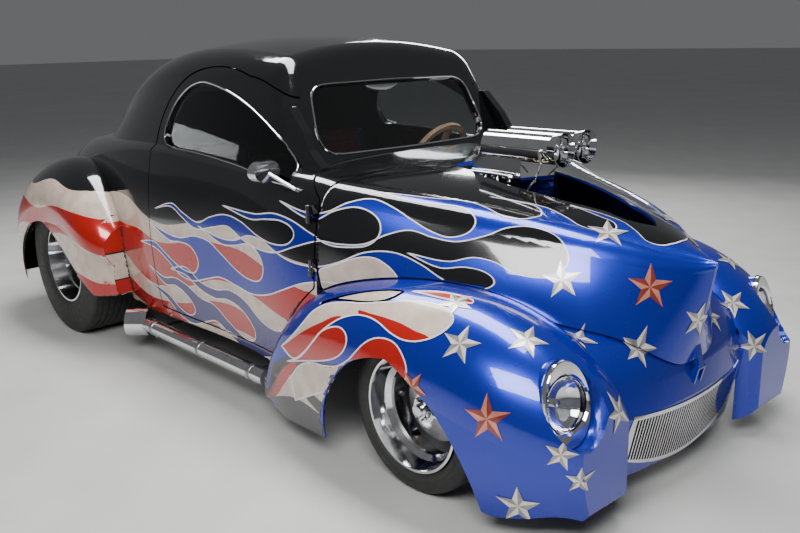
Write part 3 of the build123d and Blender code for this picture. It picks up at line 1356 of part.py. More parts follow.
# Dash, column and wheel
column_run = Vector(COLUMN_END[0] - COLUMN_START[0], 0, COLUMN_END[1] - COLUMN_START[1])
column_plane = Plane(origin=(fx(COLUMN_START[0]), DRIVER_Y, COLUMN_START[1]), x_dir=(0, 1, 0), z_dir=column_run.normalized())
with BuildPart() as dash:
    with BuildSketch(side_plane(800)):
        with BuildLine():
            Polyline(
                (fx(DASH_X) + 130, 1010), (fx(DASH_X) - 20, 1020), (fx(DASH_X) - 66, 985), (fx(DASH_X) - 50, 850),
                (fx(DASH_X) + 10, 850), (fx(DASH_X) + 130, 960), close=True,
            )
        make_face()
    extrude(amount=1600)
    add(cab_inside, mode=Mode.INTERSECT)
    with Locations((0, 800, 0), (0, -800, 0)):
        Box(LENGTH, 2 * (800 - DASH_HALF), 3000, mode=Mode.SUBTRACT)
    with BuildSketch(column_plane):
        Circle(COLUMN_RADIUS + FIT_GAP)
    extrude(amount=column_run.length, mode=Mode.SUBTRACT)
write("dash", dash.part)
with BuildPart() as column:
    with BuildSketch(column_plane):
        Circle(COLUMN_RADIUS)
    extrude(amount=column_run.length)
    with BuildSketch(column_plane.offset(column_run.length)):
        Circle(STEERING_RADIUS)
        Circle(STEERING_RADIUS - 24, mode=Mode.SUBTRACT)
        Circle(46)
        with PolarLocations(STEERING_RADIUS / 2, 3, start_angle=30):
            Rectangle(STEERING_RADIUS - 20, 26)
    extrude(amount=22)
write("steering_wheel", column.part)

# Door mirror: a peg into the door, a stem and an oval head
foot_plane = mirror_foot_plane()
elbow = foot_plane.origin + foot_plane.z_dir * MIRROR_PEG[1]
head = foot_plane.origin + Vector(MIRROR_HEAD[0], -MIRROR_HEAD[1], MIRROR_HEAD[2])
with BuildPart() as door_mirror:
    with BuildSketch(foot_plane.offset(MIRROR_PEG[0])):
        Circle(MIRROR_STEM)
    extrude(amount=MIRROR_PEG[1] - MIRROR_PEG[0])
    with Locations(elbow):
        Sphere(MIRROR_STEM)
    with BuildSketch(Plane(origin=elbow, z_dir=head - elbow)):
        Circle(MIRROR_STEM)
    extrude(amount=(head - elbow).length)
    with BuildSketch(Plane(origin=head + Vector(18, 0, 0), x_dir=(0, 1, 0), z_dir=(-1, -0.2, 0))):
        Ellipse(*MIRROR_HALF)
    extrude(amount=40)
write("mirror_right", door_mirror.part)
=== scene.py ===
import json
import math

import bpy
import numpy
from mathutils import Matrix, Vector
from mathutils.bvhtree import BVHTree
from mathutils.geometry import barycentric_transform, delaunay_2d_cdt

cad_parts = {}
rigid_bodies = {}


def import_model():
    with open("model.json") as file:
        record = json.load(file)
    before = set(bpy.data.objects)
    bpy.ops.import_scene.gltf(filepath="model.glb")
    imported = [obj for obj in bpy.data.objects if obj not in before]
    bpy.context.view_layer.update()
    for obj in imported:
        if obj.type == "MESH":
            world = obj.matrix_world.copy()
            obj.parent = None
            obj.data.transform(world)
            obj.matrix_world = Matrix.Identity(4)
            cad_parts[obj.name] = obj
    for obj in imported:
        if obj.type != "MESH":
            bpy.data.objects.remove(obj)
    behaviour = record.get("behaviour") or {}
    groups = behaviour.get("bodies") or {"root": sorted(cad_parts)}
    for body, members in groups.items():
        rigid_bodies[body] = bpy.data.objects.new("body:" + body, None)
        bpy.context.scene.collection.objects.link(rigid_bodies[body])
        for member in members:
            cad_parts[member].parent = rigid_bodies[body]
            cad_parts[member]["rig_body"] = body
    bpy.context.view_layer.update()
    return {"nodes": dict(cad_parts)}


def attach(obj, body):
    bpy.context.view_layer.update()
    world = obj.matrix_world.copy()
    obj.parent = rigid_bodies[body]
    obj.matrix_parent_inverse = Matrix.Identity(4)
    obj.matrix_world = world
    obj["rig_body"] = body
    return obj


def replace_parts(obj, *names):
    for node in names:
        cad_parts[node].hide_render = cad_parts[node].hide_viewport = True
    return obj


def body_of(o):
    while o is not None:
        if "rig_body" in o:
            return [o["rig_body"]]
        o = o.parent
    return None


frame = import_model()
NODES = frame["nodes"]
SIDES = (("right", -1), ("left", 1))

# The picture's camera, in metres and in the frame of the solids
IMAGE_SIZE = (800, 533)
CAMERA_PLACE = Vector((3.537, -2.700, 1.557))
CAMERA_FORWARD = Vector((-0.7083, 0.6586, -0.2539))
CAMERA_RIGHT = Vector((0.6848, 0.7285, -0.0207))
CAMERA_UP = Vector((-0.1713, 0.1885, 0.967))
SENSOR = 36.0
LENS = 39.47
FOCAL = LENS / SENSOR * IMAGE_SIZE[0]


# Node trees of the finishes

NOISE, CELLS = "ShaderNodeTexNoise", "ShaderNodeTexVoronoi"
RAMP = (0.3, 0.7)
COAT_ROUGHNESS = 0.03
COAT_WAVES = 3.0


def pattern(tree, kind, scale, detail=4.0, stretch=(1, 1, 1)):
    """The value of a texture in the frame's own space."""
    coord = tree.nodes.new("ShaderNodeTexCoord")
    mapping = tree.nodes.new("ShaderNodeMapping")
    mapping.inputs["Scale"].default_value = stretch
    tree.links.new(coord.outputs["Object"], mapping.inputs["Vector"])
    node = tree.nodes.new(kind)
    node.inputs["Scale"].default_value = scale
    tree.links.new(mapping.outputs["Vector"], node.inputs["Vector"])
    if kind == CELLS:
        return node.outputs["Distance"]
    node.inputs["Detail"].default_value = detail
    return node.outputs["Fac"]


def spread(tree, value, low, high):
    """A number that runs between two limits with a texture."""
    node = tree.nodes.new("ShaderNodeMapRange")
    for name, number in zip(("From Min", "From Max", "To Min", "To Max"), (*RAMP, low, high)):
        node.inputs[name].default_value = number
    tree.links.new(value, node.inputs["Value"])
    return node.outputs["Result"]


def shades(tree, value, dark, light):
    """A colour that runs between two others with a texture."""
    node = tree.nodes.new("ShaderNodeValToRGB")
    for stop, place, colour in zip(node.color_ramp.elements, RAMP, (dark, light)):
        stop.position, stop.color = place, (*colour, 1)
    tree.links.new(value, node.inputs["Fac"])
    return node.outputs["Color"]


def new_finish(name):
    """A new material, its node tree and its shader."""
    material = bpy.data.materials.new(name)
    material.use_nodes = True
    return material, material.node_tree, material.node_tree.nodes["Principled BSDF"]


def finish(name, dark, light, rough, metallic=0.0, coat=0.0, grain=60.0, bump=0.0, depth=0.0005,
           bump_scale=None, bump_kind=NOISE, stretch=(1, 1, 1), sheen=0.0):
    """A finish whose colour, roughness and relief vary with textures."""
    material, tree, main = new_finish(name)
    fine = pattern(tree, NOISE, grain, stretch=stretch)
    tree.links.new(shades(tree, fine, dark, light), main.inputs["Base Color"])
    wide = pattern(tree, NOISE, COAT_WAVES if coat else grain / 4, detail=5.0)
    tree.links.new(spread(tree, wide, *rough), main.inputs["Roughness"])
    main.inputs["Metallic"].default_value = metallic
    main.inputs["Coat Weight"].default_value = coat
    main.inputs["Coat Roughness"].default_value = COAT_ROUGHNESS
    main.inputs["Sheen Weight"].default_value = sheen
    if bump:
        relief = tree.nodes.new("ShaderNodeBump")
        relief.inputs["Strength"].default_value = bump
        relief.inputs["Distance"].default_value = depth
        height = pattern(tree, bump_kind, bump_scale or grain, stretch=stretch)
        tree.links.new(height, relief.inputs["Height"])
        tree.links.new(relief.outputs["Normal"], main.inputs["Normal"])
    return material


def glass(name, tint, rough=0.0):
    """Clear glass with faint smears in its gloss."""
    material, tree, main = new_finish(name)
    smear = pattern(tree, NOISE, 9.0, detail=6.0)
    clearer = tuple(min(1, c * 1.04) for c in tint)
    tree.links.new(shades(tree, smear, tint, clearer), main.inputs["Base Color"])
    tree.links.new(spread(tree, smear, rough, rough + 0.02), main.inputs["Roughness"])
    main.inputs["Transmission Weight"].default_value = 1.0
    main.inputs["IOR"].default_value = 1.45
    return material


PAINT = dict(coat=1.0, bump=0.05, depth=0.0004, bump_scale=55.0)
PLATE = dict(metallic=1.0, grain=18, bump=0.03, depth=0.0003, bump_scale=40)
HIDE = dict(grain=24, bump=0.35, depth=0.0006, bump_scale=420, bump_kind=CELLS)

# Name, darker and lighter colour, range of roughness, and the rest
FINISHES = [
    ("black_paint", (0.002, 0.002, 0.003), (0.006, 0.006, 0.007), (0.08, 0.14), dict(PAINT, grain=900)),
    ("blue_paint", (0.002, 0.009, 0.20), (0.005, 0.028, 0.52), (0.22, 0.32),
     dict(PAINT, metallic=0.6, grain=1400)),
    # Painted shade: a darker, violet copy of the blue paint, for the flames low on the doors
    ("blue_paint_painted_shade", (0.010, 0.006, 0.10), (0.020, 0.012, 0.19), (0.22, 0.32),
     dict(PAINT, metallic=0.35, grain=1400)),
    ("red_paint", (0.30, 0.004, 0.002), (0.50, 0.010, 0.005), (0.2, 0.3),
     dict(PAINT, metallic=0.25, grain=1200)),
    ("cream_paint", (0.44, 0.34, 0.28), (0.58, 0.48, 0.40), (0.2, 0.3), dict(PAINT, grain=14)),
    ("pinstripe", (0.62, 0.58, 0.62), (0.78, 0.74, 0.78), (0.2, 0.28), dict(PAINT, grain=40)),
    ("star_light", (0.62, 0.56, 0.46), (0.80, 0.75, 0.66), (0.25, 0.35),
     dict(PAINT, metallic=0.35, grain=30)),
    ("star_dark", (0.16, 0.15, 0.17), (0.34, 0.31, 0.32), (0.25, 0.35), dict(PAINT, metallic=0.35, grain=30)),
    ("copper_light", (0.52, 0.17, 0.11), (0.70, 0.26, 0.17), (0.25, 0.35),
     dict(PAINT, metallic=0.4, grain=30)),
    ("copper_dark", (0.17, 0.022, 0.016), (0.28, 0.045, 0.03), (0.25, 0.35),
     dict(PAINT, metallic=0.4, grain=30)),
    ("frame_paint", (0.006, 0.006, 0.007), (0.014, 0.014, 0.015), (0.28, 0.42),
     dict(coat=0.4, grain=120, bump=0.15, depth=0.0003)),
    ("chrome", (0.80, 0.80, 0.82), (0.92, 0.92, 0.93), (0.03, 0.09), PLATE),
    ("gold_chrome", (0.72, 0.55, 0.30), (0.90, 0.74, 0.48), (0.05, 0.13), PLATE),
    ("wheel_alloy", (0.70, 0.70, 0.72), (0.90, 0.90, 0.91), (0.05, 0.14),
     dict(metallic=1.0, grain=25, bump=0.05, depth=0.0002, bump_scale=300, stretch=(1, 0.2, 1))),
    ("cast_alloy", (0.34, 0.34, 0.35), (0.56, 0.56, 0.57), (0.28, 0.42),
     dict(metallic=0.95, grain=160, bump=0.35)),
    ("iron", (0.05, 0.048, 0.045), (0.11, 0.105, 0.1), (0.42, 0.6),
     dict(metallic=0.8, grain=110, bump=0.4, depth=0.0006)),
    ("tyre", (0.012, 0.012, 0.012), (0.026, 0.025, 0.024), (0.55, 0.75),
     dict(grain=140, bump=0.3, bump_scale=420)),
    ("rubber", (0.012, 0.012, 0.013), (0.024, 0.024, 0.024), (0.5, 0.66),
     dict(grain=180, bump=0.3, depth=0.0004)),
    ("carpet", (0.008, 0.008, 0.009), (0.024, 0.023, 0.023), (0.85, 0.98),
     dict(grain=520, bump=0.9, depth=0.003, bump_scale=700, sheen=0.5)),
    ("leather_red", (0.10, 0.006, 0.006), (0.17, 0.012, 0.010), (0.38, 0.52), HIDE),
    ("leather_navy", (0.010, 0.014, 0.05), (0.018, 0.024, 0.085), (0.38, 0.52), HIDE),
    ("leather_tan", (0.30, 0.19, 0.11), (0.42, 0.28, 0.17), (0.4, 0.55), HIDE),
    ("dial", (0.75, 0.74, 0.70), (0.85, 0.84, 0.80), (0.3, 0.4), dict(grain=30)),
]
FINISH = {name: finish(name, dark, light, rough, **more) for name, dark, light, rough, more in FINISHES}
FINISH.update({
    "glass": glass("glass", (0.93, 0.95, 0.94)),
    "dark_glass": glass("dark_glass", (0.34, 0.36, 0.37)),
    "lamp_glass": glass("lamp_glass", (0.96, 0.97, 0.97), 0.01),
    "red_lens": glass("red_lens", (0.75, 0.02, 0.015), 0.02),
})

# The carried-over solids of each finish; the tyres and seats are replaced further down
FINISHED = {
    "black_paint": "cab_shell door_left door_right boot_lid fender_rear_left fender_rear_right",
    "blue_paint": "hood nose_panel fender_front_left fender_front_right",
    "chrome": "grille headlamp_bezels scoop side_pipes mirror_right front_suspension",
    "gold_chrome": "blower",
    "lamp_glass": "headlamp_lenses",
    "red_lens": "tail_lamps",
    "glass": "windshield",
    "dark_glass": "rear_window door_glass_left door_glass_right",
    "rubber": "blower_belt",
    "cast_alloy": "engine_block fuel_tank knuckle_left knuckle_right radiator",
    "frame_paint": "chassis_frame",
    "iron": "rear_axle",
    "carpet": "floor_pan",
    "leather_navy": "dash",
    "leather_tan": "steering_wheel",
    "wheel_alloy": "wheel_front_left wheel_front_right wheel_rear_left wheel_rear_right",
}
for finish_name, node_names in FINISHED.items():
    for node_name in node_names.split():
        mesh = NODES[node_name].data
        if not mesh.materials:
            mesh.materials.append(FINISH[finish_name])
        for index in range(len(mesh.materials)):
            mesh.materials[index] = FINISH[finish_name]


# Mesh pieces in the frame's own space

def across(axis):
    """Two unit vectors square to an axis."""
    axis = Vector(axis).normalized()
    side = axis.cross(Vector((0, 0, 1)))
    if side.length < 0.01:
        side = axis.cross(Vector((1, 0, 0)))
    side.normalize()
    return side, axis.cross(side).normalized()


def turns(steps):
    """The cosine and sine of each step round a circle."""
    angles = [2 * math.pi * k / steps for k in range(steps)]
    return [(math.cos(angle), math.sin(angle)) for angle in angles]


def skin(rows, steps, closed=False):
    """Faces between rows of points, each of them a ring of steps."""
    faces = []
    for i in range(rows if closed else rows - 1):
        j = (i + 1) % rows
        for k in range(steps):
            n = (k + 1) % steps
            faces.append((i * steps + k, i * steps + n, j * steps + n, j * steps + k))
    return faces


def beside(line, i, closed):
    """The places before and after one of a line's places."""
    before = line[i - 1] if i or closed else line[i]
    after = line[(i + 1) % len(line)] if i < len(line) - 1 or closed else line[i]
    return Vector(before), Vector(after)


def new_mesh(name, points, faces, finishes, tones):
    """A mesh whose faces' tones count through its finishes."""
    mesh = bpy.data.meshes.new(name)
    mesh.from_pydata(points, [], faces)
    for finish_name in finishes:
        mesh.materials.append(FINISH[finish_name])
    mesh.polygons.foreach_set("material_index", tones)
    mesh.update()
    return mesh


def show(obj, body):
    """Puts a piece in the scene and on its body."""
    bpy.context.scene.collection.objects.link(obj)
    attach(obj, body)
    return obj


class Shape:
    """Gathers points and faces, and becomes one piece."""

    def __init__(self):
        self.points, self.faces, self.tones = [], [], []

    def add(self, points, faces, tone=0):
        start = len(self.points)
        self.points += [tuple(p) for p in points]
        self.faces += [tuple(start + i for i in face) for face in faces]
        self.tones += [tone] * len(faces)

    def lathe(self, profile, place, axis, steps=32, tone=0, stretch=1.0):
        """Turns a profile of (radius, height) about an axis; stretch widens it along its first side."""
        place, axis = Vector(place), Vector(axis).normalized()
        side, up = across(axis)
        points = [place + axis * height + side * radius * stretch * cosine + up * radius * sine
                  for radius, height in profile for cosine, sine in turns(steps)]
        self.add(points, skin(len(profile), steps), tone)

    def tube(self, path, radius, sides=10, closed=False, tone=0):
        """A round bar along a path."""
        count = len(path)
        points, side = [], None
        for i, place in enumerate(path):
            before, after = beside(path, i, closed)
            along = (after - before).normalized()
            if side is None:
                side = across(along)[0]
            side = (side - along * side.dot(along)).normalized()
            up = along.cross(side)
            points += [Vector(place) + (side * cosine + up * sine) * radius for cosine, sine in turns(sides)]
        faces = skin(count, sides, closed)
        if not closed:
            faces += [tuple(reversed(range(sides))), tuple((count - 1) * sides + k for k in range(sides))]
        self.add(points, faces, tone)

    def bolt(self, place, axis, radius, height):
        """A hexagon head with a chamfer and a washer."""
        washer, brim = height * 0.2, radius * 1.35
        self.lathe([(0, 0), (brim, 0), (brim, washer), (radius, washer)], place, axis, 12)
        head = [(radius, washer), (radius, height * 0.85), (radius * 0.82, height), (0, height)]
        self.lathe(head, place, axis, 6)

    def slab(self, corners, depth):
        """A plate of four corners, thickened along its normal."""
        corners = [Vector(c) for c in corners]
        normal = (corners[1] - corners[0]).cross(corners[3] - corners[0]).normalized() * depth
        walls = [(i, (i + 1) % 4, (i + 1) % 4 + 4, i + 4) for i in range(4)]
        self.add(corners + [c + normal for c in corners], [(3, 2, 1, 0), (4, 5, 6, 7)] + walls)

    def piece(self, name, finishes, body, smooth=35.0):
        mesh = new_mesh(name, self.points, self.faces, finishes, self.tones)
        mesh.validate()
        mesh.update()
        mesh.shade_smooth()
        mesh.set_sharp_from_angle(angle=math.radians(smooth))
        return show(bpy.data.objects.new(name, mesh), body)


# Painted shapes laid on the panels

GRAZING = -0.04
NORMALS_AGREE = 0.3


class Panel:
    """A carried-over solid that paint and fittings are laid on."""

    def __init__(self, node):
        mesh = NODES[node].data
        mesh.calc_loop_triangles()
        self.body = body_of(NODES[node])[0]
        self.places = [v.co.copy() for v in mesh.vertices]
        self.corners = [tuple(t.vertices) for t in mesh.loop_triangles]
        normals = [n.vector.copy() for n in mesh.corner_normals]
        self.normals = [tuple(normals[k] for k in t.loops) for t in mesh.loop_triangles]
        self.tree = BVHTree.FromPolygons(self.places, self.corners)

    def cast(self, origin, direction, reach):
        """Where a ray first meets the front of the solid, and the normal there."""
        place, flat, index, _ = self.tree.ray_cast(origin, direction, reach)
        if place is None or flat.dot(direction) > GRAZING:
            return None
        corners = (self.places[i] for i in self.corners[index])
        normal = barycentric_transform(place, *corners, *self.normals[index]).normalized()
        return place, normal if normal.dot(flat) > NORMALS_AGREE else flat


PANELS = {}


def panel(node):
    if node not in PANELS:
        PANELS[node] = Panel(node)
    return PANELS[node]


class Girth:
    """Chart round an axis along X: its second value is the turn above level times a radius."""

    unit = 1.0
    middle_z, radius, length = 0.62, 0.75, 1.1

    def __init__(self, side):
        self.side = side

    def ray(self, x, girth):
        turn = girth / self.radius
        out = Vector((0, self.side * math.cos(turn), math.sin(turn)))
        return Vector((x, 0, self.middle_z)) + out * self.length, -out


class Flat:
    """Chart on a plane, over both halves of the car."""

    unit, side = 1.0, 0

    def __init__(self, place, along, up, out, reach=0.12):
        self.place, self.along, self.up, self.out = (Vector(v) for v in (place, along, up, out))
        self.reach, self.length = reach, 2 * reach

    def ray(self, a, b):
        return self.place + self.along * a + self.up * b + self.out * self.reach, -self.out


class Sight:
    """Chart of the picture: its values are places in the picture, mirrored for the car's left side."""

    unit, length = 0.004, 9.0

    def __init__(self, side):
        self.side = side

    def ray(self, across, down):
        direction = (CAMERA_FORWARD * FOCAL + CAMERA_RIGHT * (across - IMAGE_SIZE[0] / 2)
                     - CAMERA_UP * (down - IMAGE_SIZE[1] / 2)).normalized()
        flip = Vector((1, -self.side, 1))
        return CAMERA_PLACE * flip, direction * flip


# The paint on a door ends at its skin's front edge, short of the hinge knuckles
DOOR_EDGE_X = 0.9655
# Paint stops this far past the car's middle
PAST_MIDDLE = 0.0003
# A face is left out where a side of it stretches or its normals part by more than this
STRETCH, STRETCH_ROOM, NORMALS_PART = 4.5, 0.012, 0.45
EDGE_HALVINGS = 9


def lay(name, flat_points, faces, tones, chart, node, lift, finishes):
    """Lays a flat mesh on a panel along the chart's rays, ending it at the panel's own edges."""
    target = panel(node)
    front_end = DOOR_EDGE_X if node.startswith("door") else math.inf

    def hit(point):
        found = target.cast(*chart.ray(*point), chart.length)
        if found is None or found[0].y * chart.side < -PAST_MIDDLE or found[0].x > front_end:
            return None
        return found

    found = [hit(p) for p in flat_points]
    near = {}
    for face in faces:
        on_panel = [i for i in face if found[i] is not None]
        for i in face:
            if on_panel and found[i] is None:
                near.setdefault(i, on_panel[0])
    places = list(found)
    for i, j in near.items():
        places[i] = found[j]
        within, beyond = 0.0, 1.0
        for _ in range(EDGE_HALVINGS):
            middle = (within + beyond) / 2
            there = hit([a + (b - a) * middle for a, b in zip(flat_points[j], flat_points[i])])
            if there is None:
                beyond = middle
            else:
                within, places[i] = middle, there
    kept, kept_tones = [], []
    for face, tone in zip(faces, tones):
        if any(places[i] is None for i in face) or all(found[i] is None for i in face):
            continue
        sides = [(face[k], face[k - 1]) for k in range(len(face))]
        real = [(places[i][0] - places[j][0]).length for i, j in sides]
        drawn = [math.dist(flat_points[i], flat_points[j]) for i, j in sides]
        if any(r > STRETCH * d * chart.unit + STRETCH_ROOM for r, d in zip(real, drawn)):
            continue
        if min(places[i][1].dot(places[j][1]) for i, j in sides) < NORMALS_PART:
            continue
        kept.append(face)
        kept_tones.append(tone)
    if not kept:
        return
    used = sorted({i for face in kept for i in face})
    number = {old: new for new, old in enumerate(used)}
    mesh = new_mesh(name, [places[i][0] + places[i][1] * lift for i in used],
                    [tuple(number[i] for i in face) for face in kept], finishes, kept_tones)
    middle_face = mesh.polygons[len(mesh.polygons) // 2]
    if middle_face.normal.dot(places[used[middle_face.vertices[0]]][1]) < 0:
        mesh.flip_normals()
    mesh.shade_smooth()
    mesh.normals_split_custom_set_from_vertices([places[i][1] for i in used])
    show(bpy.data.objects.new(name, mesh), target.body)


# Rows of a mesh, in its spacings; the room between its points and the outline; and how near two points merge
ROW_HEIGHT, EDGE_ROOM, MERGE = 0.866, 0.3, 1e-6


def smooth_line(knots, closed=False, step=0.012):
    """A curve through knots of (a, b) or (a, b, "tip"); it is sharp at its tips."""
    count = len(knots)
    spans = count if closed else count - 1
    line = []
    for i in range(spans):
        p1, p2 = knots[i], knots[(i + 1) % count]
        p0 = knots[i - 1] if i or closed else p1
        p3 = knots[(i + 2) % count] if i + 2 < count or closed else p2
        a, b = Vector(p1[:2]), Vector(p2[:2])
        length = (b - a).length
        leave = (b - Vector(p0[:2])).normalized() * length if len(p1) == 2 else (b - a)
        arrive = (Vector(p3[:2]) - a).normalized() * length if len(p2) == 2 else (b - a)
        pieces = max(2, round(length / step))
        for k in range(pieces):
            t = k / pieces
            t2, t3 = t * t, t * t * t
            line.append(tuple(a * (2 * t3 - 3 * t2 + 1) + leave * (t3 - 2 * t2 + t)
                              + b * (3 * t2 - 2 * t3) + arrive * (t3 - t2)))
    if not closed:
        line.append(tuple(knots[-1][:2]))
    return line


def inside(outline, places):
    """Which places are inside a closed outline."""
    x, y = places[:, :1], places[:, 1:]
    start = numpy.array(outline)
    end = numpy.roll(start, -1, axis=0)
    rise = end[:, 1] - start[:, 1]
    rise[rise == 0] = 1.0
    crosses = (start[:, 1] > y) != (end[:, 1] > y)
    there = start[:, 0] + (y - start[:, 1]) * (end[:, 0] - start[:, 0]) / rise
    return (crosses & (x < there)).sum(axis=1) % 2 == 1


def fill(outlines, spacing, box=None):
    """Triangles inside the first of some closed outlines, and the last of the outlines each one is in."""
    xs, ys = [p[0] for p in outlines[0]], [p[1] for p in outlines[0]]
    low_x, low_y, high_x, high_y = box or (min(xs), min(ys), max(xs), max(ys))
    points, edges = [], []
    for outline in outlines:
        first, count = len(points), len(outline)
        edges += [(first + i, first + (i + 1) % count) for i in range(count)]
        points += [Vector(p) for p in outline]
    row = 0
    y = low_y + spacing / 2
    while y < high_y:
        crossings = []
        for (x1, y1), (x2, y2) in zip(outlines[0], outlines[0][1:] + outlines[0][:1]):
            if (y1 > y) != (y2 > y):
                crossings.append(x1 + (y - y1) * (x2 - x1) / (y2 - y1))
        crossings.sort()
        for start, end in zip(crossings[::2], crossings[1::2]):
            k = math.ceil((max(start, low_x) - low_x) / spacing + EDGE_ROOM)
            while low_x + k * spacing < min(end, high_x) - EDGE_ROOM * spacing:
                points.append(Vector((low_x + (k + 0.5 * (row % 2)) * spacing, y)))
                k += 1
        y += spacing * ROW_HEIGHT
        row += 1
    made = delaunay_2d_cdt(points, edges, [], 0, MERGE, False)
    places = [tuple(p) for p in made[0]]
    triangles = numpy.array([tuple(face) for face in made[2]])
    middles = numpy.array(places)[triangles].mean(axis=1)
    within = [inside(outline, middles) for outline in outlines]
    faces, tones = [], []
    for index, face in enumerate(triangles.tolist()):
        if within[0][index]:
            faces.append(tuple(face))
            tones.append(max(k for k in range(len(outlines)) if within[k][index]))
    return places, faces, tones


def paint(name, outline, chart, nodes, lift, finish_name, spacing=0.012, bands=(), box=None):
    """A filled shape on several panels; bands of (outline, finish) colour what they cover of it."""
    points, faces, tones = fill([outline] + [band for band, _ in bands], spacing, box)
    finishes = [finish_name] + [tone for _, tone in bands]
    for node in nodes:
        lay(f"{name}_{node}", points, faces, tones, chart, node, lift, finishes)


def stripe(name, line, width, chart, nodes, closed=False):
    """A pinstripe of even width on several panels."""
    count = len(line)
    points, faces = [], []
    for i, place in enumerate(line):
        before, after = beside(line, i, closed)
        along = after - before
        if along.length < 1e-9:
            along = Vector((1, 0))
        along.normalize()
        square = Vector((-along.y, along.x)) * width / 2
        points += [tuple(Vector(place) + square), tuple(Vector(place) - square)]
    for i in range(count if closed else count - 1):
        j = (i + 1) % count
        faces += [(2 * i, 2 * i + 1, 2 * j + 1), (2 * i, 2 * j + 1, 2 * j)]
    for node in nodes:
        lay(f"{name}_{node}", points, faces, [0] * len(faces), chart, node, LINE, ["pinstripe"])


# How far the coats of paint stand off the panels
UNDER, COLOUR, OVER, LINE, STAR = 0.0009, 0.0013, 0.0016, 0.0019, 0.0022
# A pinstripe's width, in metres and in the picture
PIN, PIN_SEEN = 0.0052, 1.45

# The flame's edge on the hood, cowl and doors, from the hood's crest back and down: (x, girth above 0.62 m)
FLAME_EDGE = [
    (2.055, 1.24), (2.045, 1.03), (1.995, 0.87), (1.93, 0.92), (1.87, 0.95), (1.70, 0.87, "tip"),
    (1.80, 0.875), (1.86, 0.88), (1.885, 0.80), (1.86, 0.715), (1.80, 0.68), (1.73, 0.71), (1.64, 0.73),
    (1.45, 0.65, "tip"),
    (1.55, 0.69), (1.62, 0.705), (1.665, 0.64), (1.645, 0.555), (1.58, 0.525), (1.50, 0.545), (1.42, 0.55),
    (1.33, 0.50), (1.17, 0.44, "tip"),
    (1.28, 0.445), (1.37, 0.475), (1.44, 0.495), (1.505, 0.455), (1.505, 0.385), (1.45, 0.335),
    (1.38, 0.34), (1.31, 0.365), (1.24, 0.39), (1.16, 0.40), (1.09, 0.36), (1.02, 0.31), (0.93, 0.29),
    (0.76, 0.31, "tip"),
    (0.96, 0.27), (1.05, 0.32), (1.13, 0.352), (1.20, 0.335), (1.225, 0.28), (1.195, 0.225), (1.12, 0.20),
    (1.04, 0.195), (0.95, 0.22), (0.85, 0.25), (0.73, 0.262), (0.59, 0.245), (0.34, 0.25, "tip"),
    (0.56, 0.222), (0.68, 0.235), (0.79, 0.24), (0.86, 0.21), (0.83, 0.165), (0.73, 0.15), (0.62, 0.165),
    (0.48, 0.205), (0.36, 0.215), (0.24, 0.19), (0.14, 0.155), (0.02, 0.18), (-0.08, 0.21),
    (-0.24, 0.17, "tip"),
    (-0.09, 0.195), (0.01, 0.16), (0.12, 0.125), (0.26, 0.15), (0.38, 0.17), (0.50, 0.135), (0.62, 0.115),
    (0.75, 0.12), (0.87, 0.16), (0.99, 0.20), (1.09, 0.205), (1.18, 0.225), (1.25, 0.28), (1.32, 0.32),
    (1.40, 0.315), (1.48, 0.325), (1.56, 0.39), (1.62, 0.47), (1.69, 0.52), (1.77, 0.515), (1.82, 0.43),
    (1.825, 0.33), (1.78, 0.25), (1.70, 0.235), (1.62, 0.27), (1.55, 0.27), (1.47, 0.225),
    (1.33, 0.225, "tip"),
    (1.45, 0.19), (1.53, 0.215), (1.60, 0.21), (1.635, 0.17), (1.61, 0.13), (1.54, 0.12), (1.47, 0.14),
    (1.38, 0.19), (1.29, 0.215), (1.19, 0.195), (1.09, 0.14), (0.99, 0.105), (0.87, 0.10), (0.76, 0.12),
    (0.66, 0.15), (0.55, 0.155), (0.43, 0.12), (0.30, 0.115), (0.14, 0.14, "tip"),
    (0.33, 0.09), (0.44, 0.10), (0.54, 0.12), (0.62, 0.10), (0.66, 0.045), (0.63, -0.01), (0.54, -0.025),
    (0.44, -0.005), (0.32, 0.045), (0.22, 0.085), (0.10, 0.09), (-0.02, 0.065), (-0.14, 0.07),
    (-0.32, 0.105, "tip"),
    (-0.12, 0.04), (-0.02, 0.045), (0.07, 0.035), (0.12, -0.02), (0.08, -0.08), (-0.01, -0.085),
    (-0.10, -0.06), (-0.19, -0.02), (-0.27, 0.01), (-0.42, -0.01, "tip"),
    (-0.26, -0.02), (-0.16, -0.06), (-0.06, -0.115), (0.05, -0.125), (0.17, -0.095), (0.29, -0.065),
    (0.42, -0.075), (0.55, -0.085), (0.68, -0.06), (0.80, -0.015), (0.92, 0.03), (1.04, 0.05),
    (1.14, 0.04), (1.22, 0.06), (1.30, 0.07), (1.36, 0.03), (1.42, -0.03), (1.50, -0.08),
]

# Lower flames on the doors, in a darker, violet copy of the blue paint: painted shade
LOW_FLAME = [
    (1.02, -0.10), (0.86, -0.14), (0.72, -0.20), (0.60, -0.19), (0.48, -0.13), (0.36, -0.11),
    (0.24, -0.13), (0.12, -0.12), (0.0, -0.07), (-0.14, -0.10, "tip"),
    (0.0, -0.11), (0.10, -0.155), (0.22, -0.175), (0.33, -0.16), (0.44, -0.18), (0.52, -0.245),
    (0.50, -0.30), (0.41, -0.31), (0.31, -0.27), (0.20, -0.21), (0.10, -0.20), (-0.02, -0.155),
    (-0.12, -0.14), (-0.22, -0.155), (-0.36, -0.12, "tip"),
    (-0.22, -0.19), (-0.12, -0.18), (-0.03, -0.21), (0.02, -0.265), (-0.03, -0.305), (-0.12, -0.29),
    (-0.22, -0.235), (-0.42, -0.21, "tip"),
    (-0.24, -0.26), (-0.14, -0.325), (-0.02, -0.345), (0.10, -0.31), (0.20, -0.29), (0.32, -0.345),
    (0.46, -0.37), (0.62, -0.34), (0.76, -0.28), (0.90, -0.25), (1.02, -0.24),
]

